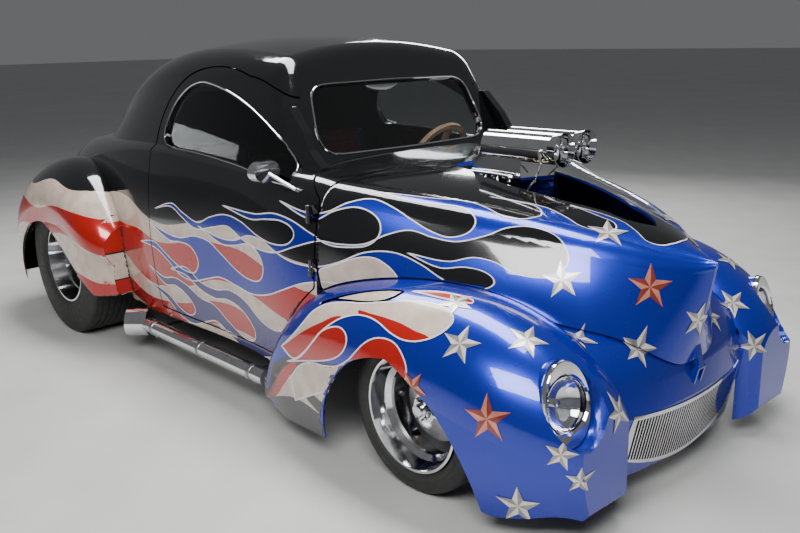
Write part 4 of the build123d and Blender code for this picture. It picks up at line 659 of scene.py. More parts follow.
# Waving stripes: each line of (x, girth), from the tail forward
WAVES = [
    [(-1.96, 0.02), (-1.80, 0.12), (-1.60, 0.19), (-1.36, 0.16), (-1.12, 0.20), (-0.90, 0.17),
     (-0.72, 0.20), (-0.53, 0.19), (-0.36, 0.13), (-0.18, 0.105), (0.0, 0.13), (0.16, 0.165),
     (0.32, 0.195), (0.48, 0.19), (0.64, 0.15), (0.80, 0.115), (0.98, 0.105), (1.15, 0.12), (1.30, 0.09),
     (1.42, 0.0)],
    [(-1.96, -0.10), (-1.76, 0.02), (-1.52, 0.09), (-1.28, 0.06), (-1.04, 0.09), (-0.82, 0.08),
     (-0.62, 0.05), (-0.44, 0.05), (-0.26, 0.015), (-0.08, 0.03), (0.10, 0.075), (0.30, 0.085),
     (0.48, 0.085), (0.64, 0.055), (0.80, 0.02), (0.98, -0.01), (1.2, -0.05), (1.42, -0.12)],
    [(-1.96, -0.22), (-1.74, -0.11), (-1.50, -0.03), (-1.26, -0.06), (-1.02, -0.03), (-0.82, -0.05),
     (-0.66, -0.10), (-0.52, -0.17), (-0.36, -0.21), (-0.16, -0.19), (0.04, -0.15), (0.22, -0.09),
     (0.40, -0.075), (0.58, -0.095), (0.76, -0.13), (0.98, -0.16), (1.2, -0.2), (1.42, -0.25)],
    [(-1.96, -0.34), (-1.70, -0.24), (-1.46, -0.16), (-1.22, -0.19), (-0.98, -0.16), (-0.80, -0.19),
     (-0.62, -0.25), (-0.44, -0.29), (-0.24, -0.28), (-0.04, -0.25), (0.16, -0.20), (0.36, -0.18),
     (0.56, -0.21), (0.76, -0.25), (0.98, -0.28), (1.2, -0.3), (1.42, -0.35)],
    [(-1.96, -0.48), (-1.60, -0.34), (-1.30, -0.30), (-1.0, -0.30), (-0.70, -0.33), (-0.40, -0.37),
     (-0.10, -0.35), (0.20, -0.30), (0.48, -0.29), (0.76, -0.34), (0.98, -0.38), (1.42, -0.42)],
    [(-1.96, -0.6), (1.42, -0.6)],
]

# Bands on the flat front end of a rear fender: (lowest, highest) in metres above the floor
FENDER_END_BANDS = [(0.665, 0.80), (0.515, 0.665), (0.37, 0.515), (0.28, 0.37)]

# Curves on the fenders and hood, in picture places: (across, down) or (across, down, "tip")
SEEN = {
    "cream": [
        (282, 346, "tip"), (294, 334), (304, 322), (314, 311), (328, 304), (344, 302.5), (362, 303.5),
        (382, 302.5), (402, 301.5), (424, 302), (440, 306), (451, 313), (453.5, 320), (448, 328),
        (438, 335), (427, 339.5), (414, 341.5), (402, 339.5), (390, 332.5), (378, 322), (367, 316.5),
        (355, 315), (342, 318), (331, 324), (321, 332), (312, 343), (303, 353), (294, 358),
    ],
    "band": [
        (358, 312), (372, 314), (386, 318), (400, 323), (414, 330.5), (430, 340), (418, 348), (398, 346),
        (376, 330),
    ],
    "behind": [
        (276, 356), (290, 341), (304, 331), (320, 323), (340, 316), (344, 324), (320, 342), (300, 366),
    ],
    "red": [
        (287, 361, "tip"), (299, 357.5), (307, 349.5), (314, 340), (321, 332), (330, 327.5), (339, 327),
        (345, 332), (346.8, 341), (343, 351.5), (335, 358), (322, 360.5), (304, 360.5),
    ],
    "arch": [
        (291, 378, "tip"), (299, 366), (310, 362.5), (324, 365.5), (337, 366), (348, 360), (356, 351.5),
        (364, 343.5), (374, 338.5), (385, 338.5), (395, 343.5), (402, 354), (406.5, 368), (405.5, 382),
        (403, 390, "tip"), (396, 398, "tip"), (376, 388), (350, 386), (322, 392), (296, 400, "tip"),
    ],
    "arch_red": [
        (338, 367), (348, 361), (362, 359), (376, 362), (390, 369), (404, 382), (420, 372), (406, 340),
        (376, 330), (352, 346),
    ],
    "tail": [
        (255, 380, "tip"), (276, 362), (292, 356), (318, 362), (345, 366), (372, 372, "tip"),
        (380, 390, "tip"), (340, 392), (326, 410), (322, 450, "tip"), (255, 450, "tip"),
    ],
    "tail_cream": [
        (276, 396, "tip"), (284, 382), (296, 372), (312, 372), (330, 378), (344, 382, "tip"), (334, 392),
        (322, 402, "tip"), (312, 394), (303, 392), (320, 414, "tip"), (300, 400), (288, 396),
    ],
    "tail_red": [
        (266, 398, "tip"), (276, 380), (284, 368), (296, 361), (292, 372), (283, 386), (276, 396),
    ],
    "top": [
        (320, 304, "tip"), (333, 299.5), (350, 300.5), (366, 302), (382, 301), (393, 297.5),
        (404, 291.5, "tip"), (390, 290.5), (372, 291.5), (352, 294.5), (334, 299),
    ],
    "top_red": [
        (412, 291.5, "tip"), (438, 292), (458, 295.5), (473, 300.5), (472, 303.5), (456, 301),
        (438, 297.5), (424, 294),
    ],
    "panel": [
        (319, 271), (330, 266.5), (344, 261.5), (360, 257.5), (374, 258), (386, 264.5), (395, 273.5),
        (400, 283), (401, 300, "tip"), (340, 300, "tip"), (328, 292), (321, 283),
    ],
}

# Stars, in picture places: centre, the way one tip points, radius in metres, and finish
STARS = [
    ((460, 344), (467, 328), 0.070, "star"), ((487, 419), (486, 393), 0.080, "copper"),
    ((527, 340), (509, 327), 0.070, "star"), ((578, 339), (598, 343), 0.068, "star"),
    ((637, 350), (648, 368), 0.066, "star"), ((518, 506), (517, 487), 0.074, "star"),
    ((561, 455), (550, 448), 0.054, "star"), ((580, 481), (582, 468), 0.048, "star"),
    ((562, 280), (580, 273), 0.070, "star"), ((650, 287), (651, 266), 0.080, "copper"),
    ((608, 233), (621, 246), 0.074, "star"), ((694, 242), (702, 257), 0.070, "star"),
    ((698, 320), (700, 336), 0.066, "star"), ((729, 261), (736, 270), 0.066, "star"),
    ((733, 303), (735, 320), 0.066, "star"), ((754, 346), (750, 358), 0.062, "star"),
    ((619, 413), (617, 392), 0.066, "star"), ((456, 303), (442, 304), 0.066, "star"),
    ((413, 387), (419, 377), 0.062, "copper"),
]
STAR_PANELS = ["hood", "nose_panel", "fender_front_left", "fender_front_right"]
STAR_NOTCH = 0.40
STAR_STEPS = 3
# Two stars are one where the mirrored place is nearer than this to another star
STAR_APART = 0.17
# A star this far past the middle isn't laid on the other side's fender
STAR_PAST = 0.2


def star_mesh(radius):
    """A flat five-pointed star of small triangles, with one tone on each half of a point."""
    points, faces, tones = [], [], []
    for k in range(10):
        corners = [Vector((0, 0))]
        for turn in (k, k + 1):
            size = radius if turn % 2 == 0 else radius * STAR_NOTCH
            angle = math.radians(90 + 36 * turn)
            corners.append(Vector((math.cos(angle), math.sin(angle))) * size)
        number = {}
        for i in range(STAR_STEPS + 1):
            for j in range(STAR_STEPS + 1 - i):
                number[i, j] = len(points)
                spot = corners[0] + (corners[1] - corners[0]) * i / STAR_STEPS
                points.append(tuple(spot + (corners[2] - corners[0]) * j / STAR_STEPS))
        for i in range(STAR_STEPS):
            for j in range(STAR_STEPS - i):
                faces.append((number[i, j], number[i + 1, j], number[i, j + 1]))
                if i + j < STAR_STEPS - 1:
                    faces.append((number[i + 1, j], number[i + 1, j + 1], number[i, j + 1]))
        tones += [k % 2] * (len(faces) - len(tones))
    return points, faces, tones


def seen(place, nodes):
    """The nearest place on some panels at a place in the picture, with its normal."""
    origin, direction = Sight(-1).ray(*place)
    hits = [panel(node).cast(origin, direction, Sight.length) for node in nodes]
    hits = [h for h in hits if h is not None]
    return min(hits, key=lambda h: (h[0] - origin).length)


stars = []
for centre, tip, radius, kind in STARS:
    place, normal = seen(centre, STAR_PANELS)
    origin, direction = Sight(-1).ray(*tip)
    there = origin + direction * ((place - origin).dot(normal) / direction.dot(normal))
    stars.append((place, normal, (there - place).normalized(), radius, kind))
FLIP = Vector((1, -1, 1))
for place, normal, up, radius, kind in list(stars):
    if all((place * FLIP - other[0]).length > STAR_APART for other in stars):
        stars.append((place * FLIP, normal * FLIP, up * FLIP, radius, kind))
for index, (place, normal, up, radius, kind) in enumerate(stars):
    chart = Flat(place, up.cross(normal).normalized(), up, normal)
    points, faces, tones = star_mesh(radius)
    halves = [f"{kind}_light", f"{kind}_dark"]
    for node in STAR_PANELS:
        if node.endswith("right") and place.y > STAR_PAST:
            continue
        if node.endswith("left") and place.y < -STAR_PAST:
            continue
        lay(f"star_{index}_{node}", points, faces, tones, chart, node, STAR, halves)

# Painted on the fenders and hood: name, curve, panels, coat, finish, mesh size in the picture, and bands
FENDER, FENDER_AND_NOSE, HOOD = ["fender_front_{}"], ["fender_front_{}", "nose_panel"], ["hood"]
SEEN_PAINT = [
    ("fender_tail", "tail", FENDER, UNDER, "black_paint", 4.0,
     [("tail_cream", "cream_paint"), ("tail_red", "red_paint")]),
    ("fender_cream", "cream", FENDER, COLOUR, "cream_paint", 4.0,
     [("band", "red_paint"), ("behind", "red_paint")]),
    ("fender_red", "red", FENDER, COLOUR, "red_paint", 4.0, []),
    ("fender_arch", "arch", FENDER, COLOUR, "cream_paint", 4.0, [("arch_red", "red_paint")]),
    ("fender_top", "top", FENDER_AND_NOSE, COLOUR, "cream_paint", 3.0, []),
    ("fender_top_red", "top_red", FENDER_AND_NOSE, COLOUR, "red_paint", 3.0, []),
    ("hood_panel", "panel", HOOD, OVER, "cream_paint", 4.0, []),
]
SEEN_LINES = [(f"fender_line_{name}", name, FENDER_AND_NOSE)
              for name in ("cream", "red", "arch", "top", "top_red")]
SEEN_LINES.append(("hood_panel_line", "panel", HOOD))
SEEN_STEP = 3.0

# Meshes of the waving stripes: the step of their lines, and their size on the body and on the rear fenders
WAVE_STEP, WAVE_SIZE, WAVE_SIZE_REAR = 0.03, 0.010, 0.0065
WAVE_TONES = ("cream_paint", "red_paint")
# The rear fenders' flat front ends: their middle and how far out paint reaches from it
FENDER_END, FENDER_END_REACH = (-0.650, 0.76, 0.45), 0.20
# Corners that close the flame's edge, ahead of it and behind it, and where the fine mesh is
AHEAD = [(1.6, -0.1), (1.6, 1.24)]
BEHIND = [(1.50, -0.4), (-0.6, -0.4), (-0.6, 1.24)]
FLAME_BOX, HOOD_BOX = (-0.5, -0.2, 1.0, 1.2), (0.92, -0.2, 2.1, 1.24)

for side_name, side in SIDES:
    flank = Girth(side)
    rear, door = f"fender_rear_{side_name}", f"door_{side_name}"
    waves = [smooth_line(line, step=WAVE_STEP) for line in WAVES]
    bands = [upper + lower[::-1] for upper, lower in zip(waves, waves[1:])]
    for index, band in enumerate(bands):
        tone = WAVE_TONES[index % 2]
        paint(f"wave_{index}_{side_name}", band, flank, ["cab_shell", door], UNDER, tone, WAVE_SIZE)
        paint(f"wave_{index}_rear_{side_name}", band, flank, [rear], UNDER, tone, WAVE_SIZE_REAR)
    end_x, end_y, end_z = FENDER_END
    fender_end = Flat((end_x, side * end_y, end_z), (0, 1, 0), (0, 0, 1), (1, 0, 0), 0.04)
    for index, (low_z, high_z) in enumerate(FENDER_END_BANDS):
        reach, low, high = FENDER_END_REACH, low_z - end_z, high_z - end_z
        block = [(-reach, low), (reach, low), (reach, high), (-reach, high)]
        paint(f"fender_end_{index}_{side_name}", block, fender_end, [rear], UNDER, WAVE_TONES[index % 2])

    edge, low_edge = smooth_line(FLAME_EDGE), smooth_line(LOW_FLAME)
    nodes = [door, "cab_shell"]
    paint(f"flame_{side_name}", edge + AHEAD, flank, nodes, OVER, "blue_paint", box=FLAME_BOX)
    paint(f"hood_black_{side_name}", edge + BEHIND, flank, HOOD, UNDER, "black_paint",
          bands=[(bands[0], "cream_paint")], box=HOOD_BOX)
    stripe(f"flame_line_{side_name}", edge, PIN, flank, nodes + HOOD)
    # The lower flames take the painted shade, a darker, violet copy of the blue paint
    paint(f"low_flame_{side_name}", low_edge, flank, nodes, OVER, "blue_paint_painted_shade")
    stripe(f"low_flame_line_{side_name}", low_edge, PIN, flank, nodes)

    sight = Sight(side)
    curves = {name: smooth_line(knots, True, SEEN_STEP) for name, knots in SEEN.items()}
    for name, curve, panels, lift, tone, size, over in SEEN_PAINT:
        nodes = [node.format(side_name) for node in panels]
        coats = [(curves[band], band_tone) for band, band_tone in over]
        paint(f"{name}_{side_name}", curves[curve], sight, nodes, lift, tone, size, coats)
    for name, curve, panels in SEEN_LINES:
        nodes = [node.format(side_name) for node in panels]
        stripe(f"{name}_{side_name}", curves[curve], PIN_SEEN, sight, nodes, closed=True)


# Fitted pieces

def home(node):
    """The body that a node moves with."""
    return body_of(NODES[node])[0]


def meet(node, start, way, reach):
    """Where a ray meets a solid, or None."""
    found = panel(node).cast(Vector(start), Vector(way), reach)
    return found and found[0]


# Headlamps: painted buckets with chrome rims, dished reflectors, and collars up to the sheet ahead of them
LAMP_TILT, LAMP_YAW = math.radians(12), math.radians(8)
LAMP_PLACE = (2.060, 0.655, 0.462)
LAMP_HALF = (0.096, 0.138)
LENS_RADIUS = 0.0866
LAMP_STEPS, COLLAR_STEPS = 64, 96
# A collar's inner and outer edge, as shares of the lamp's own outline
COLLAR_IN, COLLAR_OUT = 1.0005, 1.03
for side_name, side in SIDES:
    level = math.cos(LAMP_TILT)
    forward = Vector((level * math.cos(LAMP_YAW), side * level * math.sin(LAMP_YAW), math.sin(LAMP_TILT)))
    outward = Vector((-math.sin(LAMP_YAW), side * math.cos(LAMP_YAW), 0))
    place = Vector((LAMP_PLACE[0], side * LAMP_PLACE[1], LAMP_PLACE[2]))
    a, b, r = *LAMP_HALF, LENS_RADIUS
    # Each ring's half width, half height and distance; the first two bands are painted
    sections = [(a, b, -0.150), (a, b, -0.060), (a, b, -0.002), (a, b, 0.002), (a, b, 0.009),
                (a * 0.985, b * 0.99, 0.0155), (a * 0.955, b * 0.97, 0.018),
                ((a + r) / 2, (b + r) / 2 + 0.008, 0.0165), (r + 0.005, r + 0.009, 0.013),
                (r + 0.0012, r + 0.0012, 0.006), (r + 0.001, r + 0.001, -0.040)]
    rings = []
    for half_side, half_up, height in sections:
        way, up = outward * side * half_side, forward.cross(outward) * side * half_up
        middle = place + forward * height
        rings.append([middle + way * cosine + up * sine for cosine, sine in turns(LAMP_STEPS)])
    lamp = Shape()
    for index, (low, high) in enumerate(zip(rings, rings[1:])):
        for k in range(LAMP_STEPS):
            n = (k + 1) % LAMP_STEPS
            lamp.add((low[k], low[n], high[n], high[k]), [(0, 1, 2, 3)], 0 if index < 2 else 1)
    rim = lamp.piece(f"headlamp_rim_{side_name}", ["blue_paint", "chrome"], home("headlamp_bezels"), 30)
    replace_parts(rim, "headlamp_bezels")

    dish = Shape()
    bowl = [(r - 0.0005, -0.0405), (r - 0.010, -0.052), (r * 0.7, -0.068), (r * 0.4, -0.078),
            (0.012, -0.082), (0, -0.082)]
    dish.lathe(bowl, place, forward, 48)
    dish.lathe([(0.0, -0.050), (0.010, -0.051), (0.013, -0.056), (0.013, -0.080)], place, forward, 20)
    dish.piece(f"headlamp_dish_{side_name}", ["chrome"], home("headlamp_bezels"))

    points = []
    for cosine, sine in turns(COLLAR_STEPS):
        edge = outward * a * cosine + forward.cross(outward) * b * sine
        height = 0.0
        for node in (f"fender_front_{side_name}", "nose_panel"):
            sheet = meet(node, place + edge * COLLAR_OUT + forward * 0.3, -forward, 0.5)
            if sheet:
                height = max(height, (sheet - place).dot(forward))
        foot = place + edge * COLLAR_IN
        points += [foot - forward * 0.010, foot + forward * (height - 0.0015),
                   place + edge * COLLAR_OUT + forward * (height - 0.001)]
    faces = []
    for k in range(COLLAR_STEPS):
        n = (k + 1) % COLLAR_STEPS
        faces += [(3 * k, 3 * n, 3 * n + 1, 3 * k + 1), (3 * k + 1, 3 * n + 1, 3 * n + 2, 3 * k + 2)]
    collar = Shape()
    collar.add(points, faces)
    collar.piece(f"headlamp_collar_{side_name}", ["blue_paint"], home(f"fender_front_{side_name}"))

# Tail lamps' rims
TAIL_LAMP = (-1.9402, 0.640, 0.400)
TAIL_RIM = [(0.0425, 0.000), (0.050, 0.000), (0.051, 0.006), (0.048, 0.012), (0.0425, 0.013),
            (0.0415, 0.008)]
tail = Shape()
for _, side in SIDES:
    tail.lathe(TAIL_RIM, (TAIL_LAMP[0], side * TAIL_LAMP[1], TAIL_LAMP[2]), (-1, 0, 0), 40)
tail.piece("tail_lamp_rims", ["chrome"], home("tail_lamps"))

# Tyres: grooved tread with cross cuts, and stepped side walls.
# End of the car, axle's X, middle's Y, radius, half width, bead's radius, grooves, and steps from cut to cut
TYRES = [
    ("front", 1.500, 0.694, 0.2925, 0.0865, 0.2145, 5, 4),
    ("rear", -1.142, 0.7045, 0.3885, 0.176, 0.2145, 8, 5),
]
TYRE_STEPS = 150
GROOVE_HALF, GROOVE_DEPTH, CUT_DEPTH = 0.0045, 0.0065, 0.005
SHOULDER, CROWN = 0.026, 0.004
for end, x, y, radius, half, bead, grooves, cut in TYRES:
    tall = radius - bead
    wall = [(bead, 0.022), (bead + 0.004, 0.010), (bead + 0.016, 0.002), (bead + 0.030, 0),
            (bead + 0.031, 0.0015), (bead + 0.040, 0.0015), (bead + 0.041, 0),
            (bead + tall * 0.62, 0.001), (bead + tall * 0.66, 0.0035),
            (radius - 0.017, 0.006), (radius - 0.009, 0.012), (radius - 0.003, 0.021)]
    wall = [(r, -half + inward) for r, inward in wall]
    tread = []
    span = 2 * (half - SHOULDER)
    for g in range(grooves + 1):
        low = -half + SHOULDER + span * g / (grooves + 1)
        high = -half + SHOULDER + span * (g + 1) / (grooves + 1)
        for h in (low + GROOVE_HALF * (g > 0), high - GROOVE_HALF * (g < grooves)):
            tread.append((radius - CROWN * (abs(h) / half) ** 4, h, g in (0, grooves)))
        if g < grooves:
            tread += [(radius - GROOVE_DEPTH, high + way * GROOVE_HALF * 0.6, False) for way in (-1, 1)]
    profile = [(r, h, False) for r, h in wall] + tread + [(r, -h, False) for r, h in reversed(wall)]
    for side_name, side in SIDES:
        points = []
        for r, h, rib in profile:
            for k, (cosine, sine) in enumerate(turns(TYRE_STEPS)):
                size = r - (CUT_DEPTH if rib and k % cut == 0 else 0.0)
                points.append((x + size * cosine, side * (y + h), radius + size * sine))
        tyre = Shape()
        tyre.add(points, skin(len(profile), TYRE_STEPS))
        node = f"tyre_{end}_{side_name}"
        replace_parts(tyre.piece(f"tread_{end}_{side_name}", ["tyre"], home(node), 40), node)

# Wheel nuts and centre caps, set on the hubs
NUT_CIRCLE = 0.036
NUT = [[(0.0105, 0.0), (0.0105, 0.002), (0.0075, 0.003)],
       [(0.0078, 0.002), (0.0078, 0.013), (0.0055, 0.016), (0.0, 0.0165)]]
CAP = [(0.024, 0.0), (0.024, 0.010), (0.021, 0.014), (0.012, 0.0165), (0.0, 0.017)]
for end, x, _, radius, *_ in TYRES:
    for side_name, side in SIDES:
        wheel = f"wheel_{end}_{side_name}"
        out = Vector((0, side, 0))
        nuts = Shape()
        for k in range(5):
            turn = math.radians(126 + 72 * k)
            start = (x + NUT_CIRCLE * math.cos(turn), side, radius + NUT_CIRCLE * math.sin(turn))
            place = meet(wheel, start, -out, 0.6)
            if place:
                nuts.lathe(NUT[0], place, out, 16)
                nuts.lathe(NUT[1], place, out, 6)
        place = meet(wheel, (x, side, radius), -out, 0.6)
        if place:
            nuts.lathe(CAP, place, out, 32)
        if nuts.points:
            nuts.piece(f"wheel_nuts_{end}_{side_name}", ["chrome"], home(wheel))


# Mouldings round the window openings

# The search for an opening's edge outward from its middle, and how far past the edge the moulding lies
SEARCH_START, SEARCH_STEP, OPENING_HALVINGS = 0.04, 0.008, 8
GROW = 0.006


def opening(node, place, along, up, out, reach, count):
    """Points on a panel just outside the opening that is seen from a place."""
    place, along, up, out = (Vector(v) for v in (place, along, up, out))

    def hit(way, distance):
        return panel(node).cast(place + way * distance + out * 0.3, -out, 0.6)

    line = []
    for cosine, sine in turns(count):
        way = along * cosine + up * sine
        within, beyond = 0.02, SEARCH_START
        while beyond < reach and hit(way, beyond) is None:
            within = beyond
            beyond += SEARCH_STEP
        if beyond >= reach:
            continue
        for _ in range(OPENING_HALVINGS):
            middle = (within + beyond) / 2
            if hit(way, middle) is None:
                within = middle
            else:
                beyond = middle
        found = hit(way, beyond + GROW)
        if found:
            line.append(found)
    return line


def moulding(name, node, radius, *view):
    """A chrome bar along the edge of an opening; the view is what opening() takes after the node."""
    line = opening(node, *view)
    path = []
    for i, (place, normal) in enumerate(line):
        near = (line[i - 1][0] + line[(i + 1) % len(line)][0]) / 2
        path.append((place * 2 + near) / 3 + normal * radius * 0.2)
    shape = Shape()
    shape.tube(path, radius, 8, True)
    shape.piece(name, ["chrome"], home(node))


PANE_UP = Vector((-0.133, 0, 0.290)).normalized()
PANE_OUT = Vector((0.290, 0, 0.133)).normalized()
moulding("windshield_moulding", "cab_shell", 0.0042,
         (0.6615, 0, 1.230), (0, 1, 0), PANE_UP, PANE_OUT, 0.75, 120)
BACK_TILT = math.radians(28)
BACK_UP = (math.sin(BACK_TILT), 0, math.cos(BACK_TILT))
BACK_OUT = (-math.cos(BACK_TILT), 0, math.sin(BACK_TILT))
moulding("rear_window_moulding", "cab_shell", 0.0038,
         (-0.970, 0, 1.343), (0, 1, 0), BACK_UP, BACK_OUT, 0.5, 96)
for side_name, side in SIDES:
    moulding(f"door_moulding_{side_name}", f"door_{side_name}", 0.0036, (0.30, side * 0.70, 1.17), (1, 0, 0),
             (0, 0, 1), (0, side, 0), 0.8, 120)

# Engine fittings: bolts, fuel rails with nozzles, throttle plates and their linkage
RAIL_Y, RAIL_Z = 0.128, 1.030
THROTTLE_X, THROTTLE_Y, THROTTLE_Z = 1.535, 0.069, 1.140
fittings = Shape()
for bolt_x in (1.095, 1.165, 1.235, 1.305, 1.375, 1.425):
    for _, side in SIDES:
        place = meet("blower", (bolt_x, side * 0.140, 1.2), (0, 0, -1), 0.6)
        if place:
            fittings.bolt(place, (0, 0, 1), 0.0065, 0.008)
for cosine, sine in turns(6):
    place = meet("blower", (1.9, 0.040 * cosine, 0.830 + 0.040 * sine), (-1, 0, 0), 0.8)
    if place:
        fittings.bolt(place, (1, 0, 0), 0.0055, 0.007)
for _, side in SIDES:
    rail_y = side * RAIL_Y
    rail = [(1.175, rail_y, RAIL_Z), (1.24, rail_y, 1.033), (1.32, rail_y, 1.033), (1.395, rail_y, RAIL_Z)]
    fittings.tube(rail, 0.008, 16)
    for nozzle_x in (1.19, 1.25, 1.31, 1.37):
        fittings.tube([(nozzle_x, rail_y, 1.031), (nozzle_x, rail_y - side * 0.012, 1.017),
                       (nozzle_x, side * 0.104, 1.007)], 0.0038, 10)
        fittings.bolt((nozzle_x, side * 0.1035, 1.007), (0, side, 0), 0.0065, 0.010)
        fittings.bolt((nozzle_x, rail_y, 1.023), (0, 0, -1), 0.0062, 0.007)
    for end_x, way in ((1.173, -1), (1.397, 1)):
        fittings.bolt((end_x, rail_y, RAIL_Z), (way, 0, 0), 0.0085, 0.012)
    plate = (THROTTLE_X, side * THROTTLE_Y, THROTTLE_Z)
    plate_axis = Vector((0.85, 0, 0.53)).normalized()
    fittings.lathe([(0.0, 0.0012), (0.049, 0.0012), (0.0505, 0.0), (0.049, -0.0012), (0.0, -0.0012)],
                   plate, plate_axis, 40)
    for screw in (-0.018, 0.018):
        place = Vector((THROTTLE_X, side * THROTTLE_Y + screw, THROTTLE_Z))
        fittings.bolt(place + plate_axis * 0.0012, plate_axis, 0.0032, 0.003)
fittings.tube([(THROTTLE_X, -0.1345, THROTTLE_Z), (THROTTLE_X, 0.1345, THROTTLE_Z)], 0.0042, 12)
for arm_y in (-0.131, -0.001):
    arm = [(1.528, arm_y, 1.136), (1.542, arm_y, 1.136), (1.548, arm_y, 1.088), (1.538, arm_y, 1.088)]
    fittings.slab(arm, 0.003)
rod = [(1.543, -0.128, 1.092), (1.520, -0.128, 1.030), (1.460, -0.128, 0.965), (1.425, -0.126, 0.942)]
fittings.tube(rod, 0.0035, 10)
fittings.tube([(1.543, 0.0, 1.092), (1.515, 0.0, 1.060), (1.480, 0.0, 1.030)], 0.0035, 10)
fittings.bolt((1.543, -0.1335, 1.092), (0, -1, 0), 0.006, 0.001)
fittings.piece("engine_fittings", ["chrome"], home("blower"))

# Clamps on the side pipes
CLAMP = [(0.0362, -0.011), (0.0388, -0.0105), (0.0392, -0.004), (0.0380, 0.0), (0.0392, 0.004),
         (0.0388, 0.0105), (0.0362, 0.011)]
clamps = Shape()
for _, side in SIDES:
    for clamp_x in (0.50, 0.08, -0.36):
        clamps.lathe(CLAMP, (clamp_x, side * 0.752, 0.168), (1, 0, 0), 40)
        clamps.bolt((clamp_x, side * 0.752, 0.129), (0, 0, -1), 0.0055, 0.010)
clamps.piece("pipe_clamps", ["cast_alloy"], home("side_pipes"))

# Gauges on the dash: a bezel, a face with ticks and a needle each
GAUGE_Z = 0.945
gauges = Shape()
for gauge_y, size in ((0.47, 0.046), (0.31, 0.046), (0.10, 0.027), (0.02, 0.027), (-0.06, 0.027)):
    place = meet("dash", (0.2, gauge_y, GAUGE_Z), (1, 0, 0), 0.9)
    if not place:
        continue
    out = Vector((-1, 0, 0))
    bezel = [(size, 0.0), (size * 1.10, 0.001), (size * 1.12, 0.006), (size * 1.04, 0.010),
             (size * 0.96, 0.008), (size * 0.94, 0.004)]
    gauges.lathe(bezel, place, out, 36, 0)
    gauges.lathe([(size * 0.95, 0.004), (size * 0.5, 0.0042), (0.0, 0.0043)], place, out, 36, 1)
    for k in range(11):
        turn = math.radians(-40 + 26 * k)
        way = Vector((0, math.cos(turn), math.sin(turn))) * size
        face = place + out * 0.005
        gauges.tube([face + way * 0.74, face + way * 0.88], size * 0.018, 6, tone=2)
    pivot = place + out * 0.0055
    gauges.tube([pivot, pivot + Vector((0, 0.5, 0.6)) * size], size * 0.03, 6, tone=3)
gauges.piece("gauges", ["chrome", "dial", "rubber", "red_paint"], home("dash"))

# Inside mirror under the roof
inner = Shape()
inner.tube([(0.560, 0.0, 1.432), (0.556, 0.0, 1.405), (0.540, 0.0, 1.378)], 0.006, 12)
inner.lathe([(0.0, -0.006), (0.040, -0.006), (0.046, -0.002), (0.047, 0.004), (0.044, 0.007), (0.0, 0.0075)],
            (0.530, 0.0, 1.365), (-1, 0, -0.12), 40, stretch=2.3)
inner.piece("inside_mirror", ["chrome"], home("cab_shell"))

# Seats: stuffed cushions with sewn channels
SEAT_Y, SEAT_HALF = 0.390, 0.215
# How much smaller than the CAD cushion the block starts on each side, its rounding and its mesh size
SEAT_TRIM, SEAT_ROUND, SEAT_VOXEL = 0.012, 0.042, 0.008
# The cloth's pressure, its run and the furthest that it may swell
PRESSURE, CLOTH_FRAMES, SWELL = 4.0, 20, 0.010
# The seams' spacing and half width, and where the bolsters rise beside them, from the seat's middle
CHANNEL, SEAM_HALF = 0.055, 0.0045
BOLSTER_START, BOLSTER_RISE = 0.115, 0.05
# Depths of the seating face, of its channels and of the seams at its edges
DIP, CHANNEL_DIP, EDGE_SEAM_DIP = 0.016, 0.007, 0.006
# Where the seating face starts on the block, from -1 at its back to 1, and over how much it fades in
FACE_START, FACE_FADE = 0.35, 0.4
# Half widths of the red insert and of the navy bands round it; the rest is tan
INSERT_HALF, NAVY_HALF = 0.125, 0.175


def apply(obj, kind, **settings):
    """Applies a modifier to the active object."""
    modifier = obj.modifiers.new(kind.lower(), kind)
    for name, value in settings.items():
        setattr(modifier, name, value)
    bpy.ops.object.modifier_apply(modifier=modifier.name)


def groove(distance):
    """The depth, from 0 to 1, of a seam's groove at a distance from the seam."""
    return math.exp(-(distance / SEAM_HALF) ** 2)


